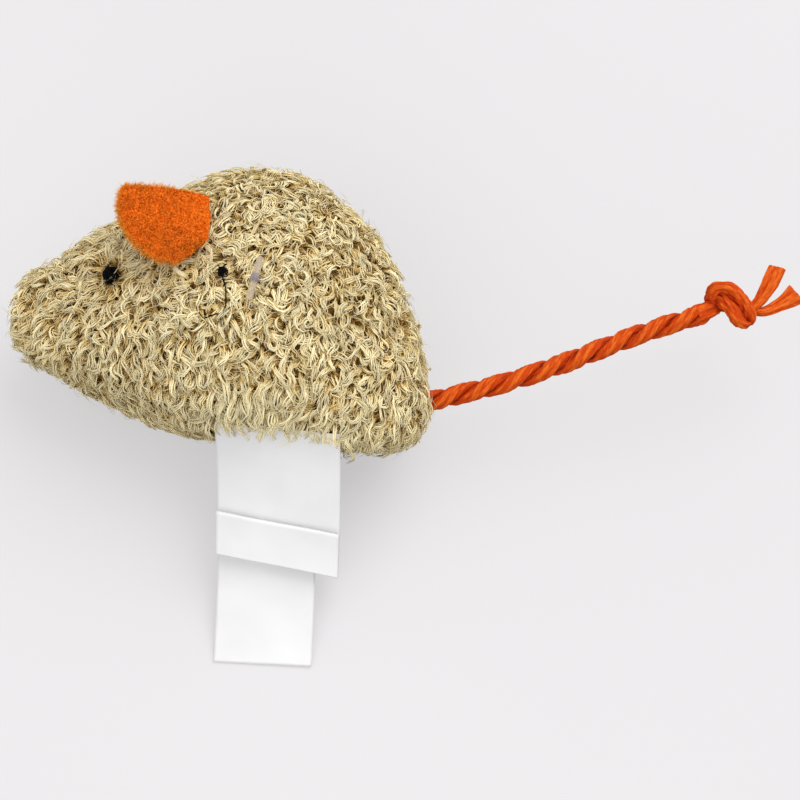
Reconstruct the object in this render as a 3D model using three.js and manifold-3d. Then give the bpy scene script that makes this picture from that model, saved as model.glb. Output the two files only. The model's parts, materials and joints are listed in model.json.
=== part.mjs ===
// Catnip mouse: a stuffed plush toy with felt ears, ribbon labels and a knotted paper-cord tail.
// It lies on its right flank. X runs from nose to rump, Z is up from the table, and the origin is
// at the flat spot that the flank rests on. Lengths are in millimetres, angles in degrees.
//
// Body pieces are drawn in body axes: x to the rump, y to the back, z to the left flank.
// The body group then rolls them about x, because the toy leans a little as it lies.

import * as THREE from 'three';
import { mergeVertices } from 'three/addons/utils/BufferGeometryUtils.js';
import Module from 'manifold-3d';

const wasm = await Module();
wasm.setup();

// Body outline
const BODY_LENGTH = 88.2;
const NOSE_RADIUS = 10.3;
const NOSE_LEVEL = -7.6;
const BACK_RADIUS = 25.3;
const BACK_LEVEL = 5;
const BACK_X = 6.2;
const HAUNCH_RADIUS = 17;
const HAUNCH_LEVEL = -2.3;
const HAUNCH_X = 23.5;
const BELLY_RADIUS = 45;
const BELLY_LEVEL = 19.2;
const BELLY_X = 2;
const RUMP_RADIUS = 9.2;
const RUMP_LEVEL = -12;
const RUMP_X = 37;
const SHOULDER_HALF_WIDTH = 20.5;
const SHOULDER_X = -2;
const HIP_HALF_WIDTH = 21.5;
const HIP_X = 13;
const NOSE_HALF_WIDTH = 9;
const RUMP_HALF_WIDTH = 13;
const WIDEST_SHARE = 0.42;
const BELLY_SQUARENESS = 0.8;
const BODY_ROLL = 12;
const REST_CUT = 1.1;

// Plush, seams and thread
const PLUSH_THICKNESS = 3.5;
const CLEARANCE = 0.3;
const THREAD_DIAMETER = 0.5;
const SEAM_GAP = THREAD_DIAMETER + 2 * CLEARANCE;
const BELLY_PANEL_WIDTH = 25;
const BELLY_PANEL_NOSE_MARGIN = 6;
const BELLY_PANEL_RUMP_MARGIN = 4.2;
const SEAM_END_MARGIN = 1.6;

// Stuffing
const HEAD_WAD_LENGTH = 28;
const RUMP_WAD_LENGTH = 16;
const CATNIP_DIAMETER = 22;

// Ears
const EAR_FROM_NOSE = 37.6;
const EAR_TOP_LEVEL = 18.5;
const EAR_BOTTOM_LEVEL = 4;
const EAR_REACH = 17;
const EAR_CORNER_HEIGHT = 4.5;
const EAR_CURVE_LENGTH = 9;
const EAR_THICKNESS = 1.6;
const EAR_CUP = 0.8;
const LEFT_EAR_FLARE = 13;
const RIGHT_EAR_FLARE = 4;
const RIGHT_EAR_RAISE = 2.5;

// Eyes and the thread that makes them
const EYE_FROM_NOSE = 21.4;
const EYE_LEVEL = -0.4;
const EYE_DIAMETER = 3.8;
const EYE_THREAD = 0.7;
const TIE_OFF_FROM_NOSE = 43.8;
const TIE_OFF_LEVEL = 4.3;
const TIE_OFF_DIAMETER = 2;
const TIE_OFF_THREAD = 0.4;
const LOOSE_THREAD_ROUTE = [[0.6, -1.6], [1.9, -4.1], [2.7, -6.2], [1.6, -8.6], [-0.4, -9.6], [-1.6, -9.1]];

// Tag fastener
const TAG_FROM_NOSE = 50.5;
const TAG_LEVEL = 4.2;
const TAG_BAR_LENGTH = 9.4;
const TAG_BAR_DIAMETER = 1.4;
const TAG_FILAMENT_DIAMETER = 0.6;

// Labels
const LABEL_X = 18.5;
const LABEL_SLANT = 3.5;
const LABEL_THICKNESS = 0.25;
const LABEL_REST_SLOPE = 11;
const CARE_LABEL_WIDTH = 20;
const CARE_LABEL_LENGTH = 50;
const CARE_LABEL_OFFSET = -2.3;
const FRONT_LABEL_WIDTH = 25;
const FRONT_LABEL_FIRST_RUN = 28.5;
const FRONT_LABEL_FOLD_RUN = 8.2;
const FRONT_LABEL_LAST_RUN = 8.8;
const FOLD_RADIUS = 0.45;
const FOLD_SKEW = 9;
const LABEL_PLY_GAP = 0.6;

// Tail: a paper cord, its route from the rump, and the knot and ply ends at its far end
const CORD_DIAMETER = 4.1;
const TAIL_ANGLE = 20;
const TAIL_ROOT_DEPTH = 7;
const TAIL_BASE_LENGTH = 8;
const CORD_CAP_SHARE = 0.98;
const CORD_CAP_OVERLAP = 0.8;
const TAIL_ROUTE = [
  [0, 0], [2, 1.02], [4, 2.03], [8, 4.02], [12, 6.16], [16, 8.5], [20, 10.95], [24, 13.5],
  [28, 16.25], [32, 18.98], [36, 21.6], [40, 24.1], [43, 25.85], [45.3, 27.2], [47.4, 28.5],
];
const KNOT_CORD_DIAMETER = 2.6;
const KNOT_ROUTE = [
  [0, 0, 0], [1.3, 0.1, -0.1], [3.4, 1.2, -0.5], [5.75, 1.95, -1.2], [8.3, 1.45, 0], [9.2, -1.05, 0.9],
  [8.05, -3.6, 0.7], [5.65, -4.3, -0.6], [3.85, -2.55, -2.2], [2.75, -0.05, -3.5], [2.45, 2.7, -3.2],
  [2.85, 4.35, -0.9], [4.25, 3.8, 1.5], [5.5, 1.45, 2.2], [5.95, -0.7, 1], [7, -1.4, -1.5], [9.9, -2, -2.3],
];
const PLY_END_THICKNESS = 1.2;
const PLY_END_ARCH = 0.7;
const PLY_END_GATHER = 0.45;
const UPPER_PLY_WIDTH = 2.9;
const UPPER_PLY_LENGTH = 10.5;
const UPPER_PLY_TURN = 33;
const LOWER_PLY_WIDTH = 4.6;
const LOWER_PLY_LENGTH = 10;
const LOWER_PLY_TURN = 0;

// Mesh fineness
const BODY_STATIONS = 36;
const BODY_SIDES = 32;
const LINING_STATIONS = 24;
const LINING_SIDES = 24;
const THREAD_SIDES = 5;
const THREAD_KNOT_STEPS = 48;
const BACK_SEAM_STEPS = 30;
const RUMP_SEAM_STEPS = 8;
const BELLY_SEAM_STEPS = 24;
const STITCH_STEPS = 8;
const EAR_COLUMNS = 10;
const EAR_ROWS = 6;
const BAR_SIDES = 12;
const FILAMENT_SIDES = 8;
const LABEL_COLUMNS = 4;
const CARE_LABEL_ROWS = 16;
const FRONT_LABEL_ROWS = 48;
const CORD_SIDES = 10;
const CORD_CAP_STEPS = 5;
const TAIL_BASE_STEPS = 4;
const TAIL_ROPE_STEPS = 16;
const KNOT_SIDES = 8;
const KNOT_STEPS = 64;
const PLY_END_ROWS = 5;

const NOSE_TIP = RUMP_X + RUMP_RADIUS - BODY_LENGTH;
const RUMP_END = RUMP_X + RUMP_RADIUS;
const EAR_X = NOSE_TIP + EAR_FROM_NOSE;
const EYE_X = NOSE_TIP + EYE_FROM_NOSE;
const TIE_OFF_X = NOSE_TIP + TIE_OFF_FROM_NOSE;
const TAG_X = NOSE_TIP + TAG_FROM_NOSE;
const FAR = 4 * BODY_LENGTH;

const radians = THREE.MathUtils.degToRad;
const vec = (x, y, z) => new THREE.Vector3(x, y, z);

const MATERIALS = {
  plush: new THREE.MeshStandardMaterial({ color: 0xc8b98c, roughness: 0.95, metalness: 0 }),
  stuffing: new THREE.MeshStandardMaterial({ color: 0xf1efe8, roughness: 1, metalness: 0 }),
  catnip: new THREE.MeshStandardMaterial({ color: 0x6d7443, roughness: 1, metalness: 0 }),
  felt: new THREE.MeshStandardMaterial({ color: 0xe8660f, roughness: 0.95, metalness: 0 }),
  beige_thread: new THREE.MeshStandardMaterial({ color: 0xbcab7c, roughness: 0.8, metalness: 0 }),
  black_thread: new THREE.MeshStandardMaterial({ color: 0x101010, roughness: 0.7, metalness: 0 }),
  clear_plastic: new THREE.MeshStandardMaterial({ color: 0xd5cec6, roughness: 0.3, metalness: 0 }),
  satin: new THREE.MeshStandardMaterial({ color: 0xf4f3f2, roughness: 0.5, metalness: 0 }),
  paper_cord: new THREE.MeshStandardMaterial({ color: 0xd6531e, roughness: 0.7, metalness: 0 }),
};

const part = new THREE.Group();
const body = new THREE.Group();
part.add(body);

function addPiece(group, name, geometry, material) {
  const mesh = new THREE.Mesh(geometry, MATERIALS[material]);
  mesh.name = name;
  group.add(mesh);
  return mesh;
}

// Solids

function closedGeometry(points, triangles) {
  const corners = triangles.map((triangle) => triangle.map((index) => points[index]));
  const volume = corners.reduce((sum, [a, b, c]) => sum + a.dot(b.clone().cross(c)), 0);
  const faces = volume < 0 ? triangles.map(([a, b, c]) => [a, c, b]) : triangles;
  const geometry = new THREE.BufferGeometry();
  geometry.setAttribute('position', new THREE.Float32BufferAttribute(points.flatMap((p) => p.toArray()), 3));
  geometry.setIndex(faces.flat());
  return geometry;
}

function toSolid(geometry) {
  const bare = geometry.clone();
  bare.deleteAttribute('normal');
  bare.deleteAttribute('uv');
  const merged = mergeVertices(bare);
  return new wasm.Manifold(new wasm.Mesh({
    numProp: 3,
    vertProperties: new Float32Array(merged.attributes.position.array),
    triVerts: new Uint32Array(merged.index.array),
  }));
}

function toGeometry(solid) {
  const mesh = solid.getMesh();
  const geometry = new THREE.BufferGeometry();
  geometry.setAttribute('position', new THREE.BufferAttribute(new Float32Array(mesh.vertProperties), 3));
  geometry.setIndex(new THREE.BufferAttribute(new Uint32Array(mesh.triVerts), 1));
  return geometry;
}

function boxBetween(low, high) {
  const size = high.clone().sub(low);
  const middle = low.clone().add(high).multiplyScalar(0.5);
  return new THREE.BoxGeometry(size.x, size.y, size.z).translate(middle.x, middle.y, middle.z);
}

function rodBetween(from, to, radius, sides) {
  const along = to.clone().sub(from);
  const middle = from.clone().add(to).multiplyScalar(0.5);
  const turn = new THREE.Quaternion().setFromUnitVectors(vec(0, 1, 0), along.clone().normalize());
  const rod = new THREE.CylinderGeometry(radius, radius, along.length(), sides);
  return rod.applyQuaternion(turn).translate(middle.x, middle.y, middle.z);
}

function roundSection(radius, sides) {
  const corners = Array.from({ length: sides }, (_, i) => {
    const angle = (2 * Math.PI * i) / sides;
    return new THREE.Vector2(radius * Math.cos(angle), radius * Math.sin(angle));
  });
  return new THREE.Shape(corners);
}

function tube(points, diameter, sides, steps) {
  const extrudePath = new THREE.CatmullRomCurve3(points);
  const section = roundSection(diameter / 2, sides);
  return new THREE.ExtrudeGeometry(section, { steps, bevelEnabled: false, extrudePath });
}

// A sheet of even thickness over a grid of points, closed round its rim
function sheet(columns, rows, pointAt, thickness) {
  const step = 1e-3;
  const points = [];
  for (const side of [0.5, -0.5]) {
    for (let row = 0; row <= rows; row += 1) {
      for (let column = 0; column <= columns; column += 1) {
        const u = column / columns;
        const v = row / rows;
        const along = pointAt(u, Math.min(v + step, 1)).sub(pointAt(u, Math.max(v - step, 0)));
        const across = pointAt(Math.min(u + step, 1), v).sub(pointAt(Math.max(u - step, 0), v));
        const normal = across.cross(along).normalize();
        points.push(pointAt(u, v).addScaledVector(normal, side * thickness));
      }
    }
  }
  const count = (columns + 1) * (rows + 1);
  const at = (column, row) => row * (columns + 1) + column;
  const triangles = [];
  const quad = (a, b, c, d) => triangles.push([a, b, c], [a, c, d]);
  for (let row = 0; row < rows; row += 1) {
    for (let column = 0; column < columns; column += 1) {
      const corners = [at(column, row), at(column + 1, row), at(column + 1, row + 1), at(column, row + 1)];
      quad(...corners);
      quad(...corners.map((index) => index + count).reverse());
    }
  }
  const rim = [];
  for (let column = 0; column < columns; column += 1) rim.push(at(column, 0));
  for (let row = 0; row < rows; row += 1) rim.push(at(columns, row));
  for (let column = columns; column > 0; column -= 1) rim.push(at(column, rows));
  for (let row = rows; row > 0; row -= 1) rim.push(at(0, row));
  rim.forEach((index, i) => {
    const next = rim[(i + 1) % rim.length];
    quad(next, index, index + count, next + count);
  });
  return closedGeometry(points, triangles);
}

// Body form: sections along x between a back line, a belly line and the flanks

const outlines = (inset) => ({
  back: [[NOSE_TIP + NOSE_RADIUS, NOSE_LEVEL, NOSE_RADIUS], [BACK_X, BACK_LEVEL, BACK_RADIUS],
    [HAUNCH_X, HAUNCH_LEVEL, HAUNCH_RADIUS], [RUMP_X, RUMP_LEVEL, RUMP_RADIUS]]
    .map(([x, level, radius]) => ({ x, level, radius: radius - inset })),
  belly: [[NOSE_TIP + NOSE_RADIUS, -NOSE_LEVEL, NOSE_RADIUS], [BELLY_X, -BELLY_LEVEL, BELLY_RADIUS],
    [RUMP_X, -RUMP_LEVEL, RUMP_RADIUS]].map(([x, level, radius]) => ({ x, level, radius: radius - inset })),
  flank: [[NOSE_TIP + NOSE_HALF_WIDTH, NOSE_HALF_WIDTH], [SHOULDER_X, SHOULDER_HALF_WIDTH],
    [HIP_X, HIP_HALF_WIDTH], [RUMP_END - RUMP_HALF_WIDTH, RUMP_HALF_WIDTH]]
    .map(([x, radius]) => ({ x, level: 0, radius: radius - inset })),
});

// Height at x of a taut line laid over a row of circles
function tautHeight(circles, x) {
  const onCircle = (circle) => {
    const rise = Math.sqrt(Math.max(circle.radius ** 2 - (x - circle.x) ** 2, 0));
    return circle.level + rise;
  };
  for (let i = 0; i + 1 < circles.length; i += 1) {
    const [a, b] = [circles[i], circles[i + 1]];
    const distance = Math.hypot(b.x - a.x, b.level - a.level);
    const lean = Math.atan2(b.level - a.level, b.x - a.x) + Math.acos((a.radius - b.radius) / distance);
    const touchA = a.x + a.radius * Math.cos(lean);
    const touchB = b.x + b.radius * Math.cos(lean);
    if (x <= touchA) return onCircle(a);
    if (x <= touchB) {
      const fromA = (x - touchA) / (touchB - touchA);
      const lift = b.level - a.level + (b.radius - a.radius) * Math.sin(lean);
      return a.level + a.radius * Math.sin(lean) + fromA * lift;
    }
  }
  return onCircle(circles[circles.length - 1]);
}

function sectionAt(x, inset) {
  const { back, belly, flank } = outlines(inset);
  const top = tautHeight(back, x);
  const bottom = -tautHeight(belly, x);
  return { top, bottom, middle: bottom + WIDEST_SHARE * (top - bottom), half: tautHeight(flank, x) };
}

// Point on the body, turning from the back (0) over the left flank to the belly (pi)
function bodyPoint(x, angle, inset) {
  const { top, bottom, middle, half } = sectionAt(x, inset);
  const across = Math.sin(angle);
  const up = Math.cos(angle);
  if (up >= 0) return vec(x, middle + (top - middle) * up, half * across);
  const squared = (share) => Math.sign(share) * Math.abs(share) ** BELLY_SQUARENESS;
  return vec(x, middle + (middle - bottom) * squared(up), half * squared(across));
}

// Point on the left flank at a given level, above its widest line
function flankPoint(x, level, inset) {
  const { top, middle } = sectionAt(x, inset);
  return bodyPoint(x, Math.acos((level - middle) / (top - middle)), inset);
}

// Point on the belly side at a given distance from the middle plane
function bellyPoint(x, aside, inset) {
  const { half } = sectionAt(x, inset);
  const share = Math.min(Math.abs(aside) / half, 1) ** (1 / BELLY_SQUARENESS);
  const point = bodyPoint(x, Math.PI - Math.asin(share), inset);
  point.z *= Math.sign(aside);
  return point;
}

function outwardAt(x, level) {
  const step = 0.5;
  const along = flankPoint(x + step, level, 0).sub(flankPoint(x - step, level, 0));
  const upward = flankPoint(x, level + step, 0).sub(flankPoint(x, level - step, 0));
  return along.cross(upward).normalize();
}

const stationX = (turn, inset) => {
  const length = BODY_LENGTH - 2 * inset;
  return NOSE_TIP + inset + (length * (1 - Math.cos(turn))) / 2;
};

function bodySolid(stations, sides, inset) {
  const points = [bodyPoint(NOSE_TIP + inset, 0, inset)];
  for (let station = 1; station < stations; station += 1) {
    const x = stationX((Math.PI * station) / stations, inset);
    for (let side = 0; side < sides; side += 1) {
      points.push(bodyPoint(x, (2 * Math.PI * side) / sides, inset));
    }
  }
  const last = points.length;
  points.push(bodyPoint(RUMP_END - inset, 0, inset));
  const at = (station, side) => 1 + (station - 1) * sides + (side % sides);
  const triangles = [];
  for (let side = 0; side < sides; side += 1) {
    triangles.push([0, at(1, side), at(1, side + 1)]);
    for (let station = 1; station + 1 < stations; station += 1) {
      triangles.push([at(station, side), at(station + 1, side), at(station + 1, side + 1)]);
      triangles.push([at(station, side), at(station + 1, side + 1), at(station, side + 1)]);
    }
    triangles.push([last, at(stations - 1, side + 1), at(stations - 1, side)]);
  }
  return closedGeometry(points, triangles);
}

// How the toy lies: rolled about x, with its lowest spot cut flat at the table

const outerGeometry = bodySolid(BODY_STATIONS, BODY_SIDES, 0);
const roll = new THREE.Matrix4().makeRotationX(radians(BODY_ROLL));
const unroll = roll.clone().invert();
const outerPositions = outerGeometry.attributes.position;
let lowest = vec(0, 0, Infinity);
for (let i = 0; i < outerPositions.count; i += 1) {
  const point = vec().fromBufferAttribute(outerPositions, i).applyMatrix4(roll);
  if (point.z < lowest.z) lowest = point;
}
body.rotation.x = radians(BODY_ROLL);
body.position.set(-lowest.x, -lowest.y, -lowest.z - REST_CUT);
body.updateMatrixWorld(true);
const onTable = (point) => point.clone().applyMatrix4(body.matrixWorld);

// Plush panels and their seams

const bellyFront = NOSE_TIP + BELLY_PANEL_NOSE_MARGIN;
const bellyRear = RUMP_END - BELLY_PANEL_RUMP_MARGIN;
const bellyX = (bellyFront + bellyRear) / 2;
const bellyArcRadius = ((bellyRear - bellyFront) ** 2 + BELLY_PANEL_WIDTH ** 2) / (4 * BELLY_PANEL_WIDTH);
const bellyHalfWidth = (x) => {
  const chord = Math.sqrt(Math.max(bellyArcRadius ** 2 - (x - bellyX) ** 2, 0));
  return chord - (bellyArcRadius - BELLY_PANEL_WIDTH / 2);
};

// Column under the body with the belly panel's pointed oval outline, grown by a margin
function bellyColumn(margin) {
  const arcRadius = bellyArcRadius + margin;
  const sunk = bellyArcRadius - BELLY_PANEL_WIDTH / 2;
  const sweep = Math.acos(sunk / arcRadius);
  const outline = new THREE.Shape();
  outline.absarc(bellyX, -sunk, arcRadius, Math.PI / 2 + sweep, Math.PI / 2 - sweep, true);
  outline.absarc(bellyX, sunk, arcRadius, -Math.PI / 2 + sweep, -Math.PI / 2 - sweep, true);
  const column = new THREE.ExtrudeGeometry(outline, { depth: FAR, bevelEnabled: false, curveSegments: 24 });
  return column.rotateX(Math.PI / 2).translate(0, RUMP_LEVEL, 0);
}

function tailExit() {
  const angle = radians(TAIL_ANGLE);
  const outward = vec(Math.cos(angle), Math.sin(angle), 0);
  return { outward, point: vec(RUMP_X, RUMP_LEVEL, 0).addScaledVector(outward, RUMP_RADIUS) };
}

const tail = tailExit();
const eyeCentre = flankPoint(EYE_X, EYE_LEVEL, 0);
const tagPoint = flankPoint(TAG_X, TAG_LEVEL, 0);
const tagOutward = outwardAt(TAG_X, TAG_LEVEL);
const mirrored = (point) => vec(point.x, point.y, -point.z);

const cordHole = CORD_DIAMETER / 2 + CLEARANCE;
const threadHole = THREAD_DIAMETER / 2 + CLEARANCE;
const filamentHole = TAG_FILAMENT_DIAMETER / 2 + CLEARANCE;
const tailBore = toSolid(rodBetween(
  tail.point.clone().addScaledVector(tail.outward, -TAIL_ROOT_DEPTH - CLEARANCE),
  tail.point.clone().addScaledVector(tail.outward, CORD_DIAMETER),
  cordHole,
  CORD_SIDES,
));
const eyeBore = toSolid(rodBetween(
  vec(EYE_X, EYE_LEVEL, -FAR),
  vec(EYE_X, EYE_LEVEL, FAR),
  threadHole,
  THREAD_SIDES,
));
const tagBore = toSolid(rodBetween(
  tagPoint.clone().addScaledVector(tagOutward, -2 * PLUSH_THICKNESS),
  tagPoint.clone().addScaledVector(tagOutward, PLUSH_THICKNESS),
  filamentHole,
  THREAD_SIDES,
));

const lining = toSolid(bodySolid(LINING_STATIONS, LINING_SIDES, PLUSH_THICKNESS));
const shell = toSolid(outerGeometry).subtract(lining);
const leftHalf = toSolid(boxBetween(vec(-FAR, -FAR, SEAM_GAP / 2), vec(FAR, FAR, FAR)));
const rightHalf = toSolid(boxBetween(vec(-FAR, -FAR, -FAR), vec(FAR, FAR, -SEAM_GAP / 2)));
const belowTable = boxBetween(vec(-FAR, -FAR, -FAR), vec(FAR, FAR, lowest.z + REST_CUT));
const table = toSolid(belowTable.applyMatrix4(unroll));
const sides = shell.subtract(toSolid(bellyColumn(SEAM_GAP / 2))).subtract(tailBore).subtract(eyeBore);

addPiece(body, 'left_side_panel', toGeometry(sides.intersect(leftHalf).subtract(tagBore)), 'plush');
addPiece(body, 'right_side_panel', toGeometry(sides.intersect(rightHalf).subtract(table)), 'plush');
addPiece(body, 'belly_panel', toGeometry(shell.intersect(toSolid(bellyColumn(-SEAM_GAP / 2)))), 'plush');

const seamInset = PLUSH_THICKNESS / 2;
const turnAt = (x) => Math.acos(1 - (2 * (x - NOSE_TIP - seamInset)) / (BODY_LENGTH - 2 * seamInset));
const middleSeamPoint = (turn) => {
  const x = stationX(Math.abs(turn), seamInset);
  return bodyPoint(x, turn < 0 ? Math.PI : 0, seamInset);
};
const spread = (count, from, to) => {
  const step = (to - from) / count;
  return Array.from({ length: count + 1 }, (_, i) => from + step * i);
};

function middleSeam(fromTurn, toTurn, count) {
  const points = spread(count, fromTurn, toTurn).map(middleSeamPoint);
  return tube(points, THREAD_DIAMETER, THREAD_SIDES, 2 * count);
}

// The middle seam stops short of the cord above and below the tail
const besideTail = Math.asin((cordHole + SEAM_END_MARGIN) / RUMP_RADIUS);
const rumpSeamRadius = RUMP_RADIUS - seamInset;
const aboveTail = turnAt(RUMP_X + rumpSeamRadius * Math.cos(radians(TAIL_ANGLE) + besideTail));
const chinTurn = -turnAt(bellyFront - SEAM_END_MARGIN);
addPiece(body, 'back_seam_thread', middleSeam(chinTurn, aboveTail, BACK_SEAM_STEPS), 'beige_thread');

const belowTail = radians(TAIL_ANGLE) - besideTail;
const behindBelly = -Math.acos((bellyRear + SEAM_END_MARGIN - RUMP_X) / rumpSeamRadius);
const rumpSeamPoints = spread(RUMP_SEAM_STEPS, belowTail, behindBelly).map((angle) => vec(
  RUMP_X + rumpSeamRadius * Math.cos(angle),
  RUMP_LEVEL + rumpSeamRadius * Math.sin(angle),
  0,
));
const rumpSeam = tube(rumpSeamPoints, THREAD_DIAMETER, THREAD_SIDES, 2 * RUMP_SEAM_STEPS);
addPiece(body, 'rump_seam_thread', rumpSeam, 'beige_thread');

for (const [name, side] of [['left', 1], ['right', -1]]) {
  const points = spread(BELLY_SEAM_STEPS, bellyFront + SEAM_END_MARGIN, bellyRear - SEAM_END_MARGIN)
    .map((x) => bellyPoint(x, side * bellyHalfWidth(x), seamInset));
  const seam = tube(points, THREAD_DIAMETER, THREAD_SIDES, 2 * BELLY_SEAM_STEPS);
  addPiece(body, `${name}_belly_seam_thread`, seam, 'beige_thread');
}

// Stuffing: three wads of fibre, the middle one round a core of catnip

const stuffingInset = PLUSH_THICKNESS + CLEARANCE;
const stuffing = toSolid(bodySolid(LINING_STATIONS, LINING_SIDES, stuffingInset));
const headEnd = NOSE_TIP + stuffingInset + HEAD_WAD_LENGTH;
const middleEnd = RUMP_END - stuffingInset - RUMP_WAD_LENGTH - CLEARANCE;
const slab = (from, to) => toSolid(boxBetween(vec(from, -FAR, -FAR), vec(to, FAR, FAR)));

const headWad = stuffing.intersect(slab(-FAR, headEnd)).subtract(eyeBore);
addPiece(body, 'head_stuffing', toGeometry(headWad), 'stuffing');
const middleX = (headEnd + CLEARANCE + middleEnd) / 2;
const middleSection = sectionAt(middleX, stuffingInset);
const coreLevel = (middleSection.top + middleSection.bottom) / 2;
const coreBore = rodBetween(
  vec(headEnd, coreLevel, 0),
  vec(middleEnd + CLEARANCE, coreLevel, 0),
  CATNIP_DIAMETER / 2 + CLEARANCE,
  LINING_SIDES,
);
const middleWad = stuffing.intersect(slab(headEnd + CLEARANCE, middleEnd)).subtract(toSolid(coreBore));
addPiece(body, 'middle_stuffing', toGeometry(middleWad), 'stuffing');
const rumpWad = stuffing.intersect(slab(middleEnd + CLEARANCE, FAR)).subtract(tailBore);
addPiece(body, 'rump_stuffing', toGeometry(rumpWad), 'stuffing');

const coreRadius = CATNIP_DIAMETER / 2;
const coreHalf = middleEnd - middleX;
const coreRounding = coreRadius / 3;
const coreProfile = new THREE.Path();
coreProfile.moveTo(0, -coreHalf);
coreProfile.lineTo(coreRadius - coreRounding, -coreHalf);
coreProfile.quadraticCurveTo(coreRadius, -coreHalf, coreRadius, coreRounding - coreHalf);
coreProfile.lineTo(coreRadius, coreHalf - coreRounding);
coreProfile.quadraticCurveTo(coreRadius, coreHalf, coreRadius - coreRounding, coreHalf);
coreProfile.lineTo(0, coreHalf);
const core = new THREE.LatheGeometry(coreProfile.getPoints(CORD_CAP_STEPS), LINING_SIDES);
addPiece(body, 'catnip_fill', core.rotateZ(-Math.PI / 2), 'catnip').position.set(middleX, coreLevel, 0);

// Ears: felt flaps sewn on at their straight base, so that they point forward over the head.
// The right one sits a little higher, clear of the table.

function earFrame(side, flare, raise) {
  const mirror = (point) => (side > 0 ? point : mirrored(point));
  const levels = spread(STITCH_STEPS, EAR_TOP_LEVEL + raise, EAR_BOTTOM_LEVEL + raise);
  const top = flankPoint(EAR_X, levels[0], 0);
  const bottom = flankPoint(EAR_X, levels[STITCH_STEPS], 0);
  const down = bottom.clone().sub(top).normalize();
  const outward = vec(1, 0, 0).cross(down).multiplyScalar(-1).normalize();
  if (outward.z < 0) outward.negate();
  const bulge = Math.max(...levels.map((level) => flankPoint(EAR_X, level, 0).sub(top).dot(outward)));
  const lift = bulge + EAR_THICKNESS / 2 + CLEARANCE;
  const flared = radians(flare);
  const forward = vec(-Math.cos(flared), 0, 0).addScaledVector(outward, Math.sin(flared));
  const root = top.clone().addScaledVector(outward, lift);
  return { mirror, levels, root, down, forward, base: bottom.distanceTo(top) };
}

function earSheet({ mirror, root, down, forward, base }) {
  const rim = new THREE.CubicBezierCurve(
    new THREE.Vector2(EAR_REACH, EAR_CORNER_HEIGHT),
    new THREE.Vector2(EAR_REACH, EAR_CORNER_HEIGHT + EAR_CURVE_LENGTH),
    new THREE.Vector2(EAR_CURVE_LENGTH + EAR_CORNER_HEIGHT, base + EAR_THICKNESS),
    new THREE.Vector2(EAR_THICKNESS, base),
  );
  const normal = down.clone().cross(forward).normalize();
  return sheet(EAR_COLUMNS, EAR_ROWS, (u, v) => {
    const edge = rim.getPoint(u);
    const cup = EAR_CUP * Math.sin(Math.PI * v);
    const point = root.clone().addScaledVector(forward, edge.x * v);
    point.addScaledVector(down, THREE.MathUtils.lerp(base * u, edge.y, v));
    return mirror(point.addScaledVector(normal, cup));
  }, EAR_THICKNESS);
}

const earSides = [['left', 1, LEFT_EAR_FLARE, 0], ['right', -1, RIGHT_EAR_FLARE, RIGHT_EAR_RAISE]];
for (const [name, side, flare, raise] of earSides) {
  const frame = earFrame(side, flare, raise);
  addPiece(body, `${name}_ear`, earSheet(frame), 'felt');
  const behind = EAR_X + threadHole;
  const stitchPoints = frame.levels.map((level) => {
    const seat = flankPoint(behind, level, 0);
    return frame.mirror(seat.addScaledVector(outwardAt(behind, level), threadHole));
  });
  const stitch = tube(stitchPoints, THREAD_DIAMETER, THREAD_SIDES, 2 * STITCH_STEPS);
  addPiece(body, `${name}_ear_stitch`, stitch, 'beige_thread');
}

// Eyes: knots of thread drawn down on the plush, joined by a thread through the head

// Knot of thread with its flat face along an outward direction
function threadKnot(diameter, thread, seat, outward) {
  const turnRadius = (diameter - thread) / 3;
  const knot = new THREE.TorusKnotGeometry(turnRadius, thread / 2, THREAD_KNOT_STEPS, THREAD_SIDES, 2, 3);
  knot.computeBoundingBox();
  const turn = new THREE.Quaternion().setFromUnitVectors(vec(0, 0, 1), outward);
  const lift = CLEARANCE - knot.boundingBox.min.z;
  const place = seat.clone().addScaledVector(outward, lift);
  return knot.applyQuaternion(turn).translate(place.x, place.y, place.z);
}

const eyeOutward = outwardAt(EYE_X, EYE_LEVEL);
const leftEye = threadKnot(EYE_DIAMETER, EYE_THREAD, eyeCentre, eyeOutward);
const rightEye = threadKnot(EYE_DIAMETER, EYE_THREAD, mirrored(eyeCentre), mirrored(eyeOutward));
addPiece(body, 'left_eye', leftEye, 'black_thread');
addPiece(body, 'right_eye', rightEye, 'black_thread');
const eyeThread = rodBetween(mirrored(eyeCentre), eyeCentre, THREAD_DIAMETER / 2, THREAD_SIDES);
addPiece(body, 'eye_thread', eyeThread, 'black_thread');

const tieOffSeat = flankPoint(TIE_OFF_X, TIE_OFF_LEVEL, 0);
const tieOffOutward = outwardAt(TIE_OFF_X, TIE_OFF_LEVEL);
const tieOff = threadKnot(TIE_OFF_DIAMETER, TIE_OFF_THREAD, tieOffSeat, tieOffOutward);
addPiece(body, 'thread_tie_off', tieOff, 'black_thread');

// Below the widest line of the flank, the loose end hangs straight down beside it
const loosePoints = LOOSE_THREAD_ROUTE.map(([aft, up]) => {
  const x = TIE_OFF_X + aft;
  const level = TIE_OFF_LEVEL + up;
  const { middle } = sectionAt(x, 0);
  const seat = flankPoint(x, Math.max(level, middle), 0);
  seat.y = level;
  return seat.addScaledVector(outwardAt(x, Math.max(level, middle + 1)), TIE_OFF_THREAD / 2 + CLEARANCE);
});
const looseThread = tube(loosePoints, TIE_OFF_THREAD, THREAD_SIDES, 3 * loosePoints.length);
addPiece(body, 'loose_thread_end', looseThread, 'black_thread');

// Tag fastener: a bar across the plush on a filament that goes in

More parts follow.
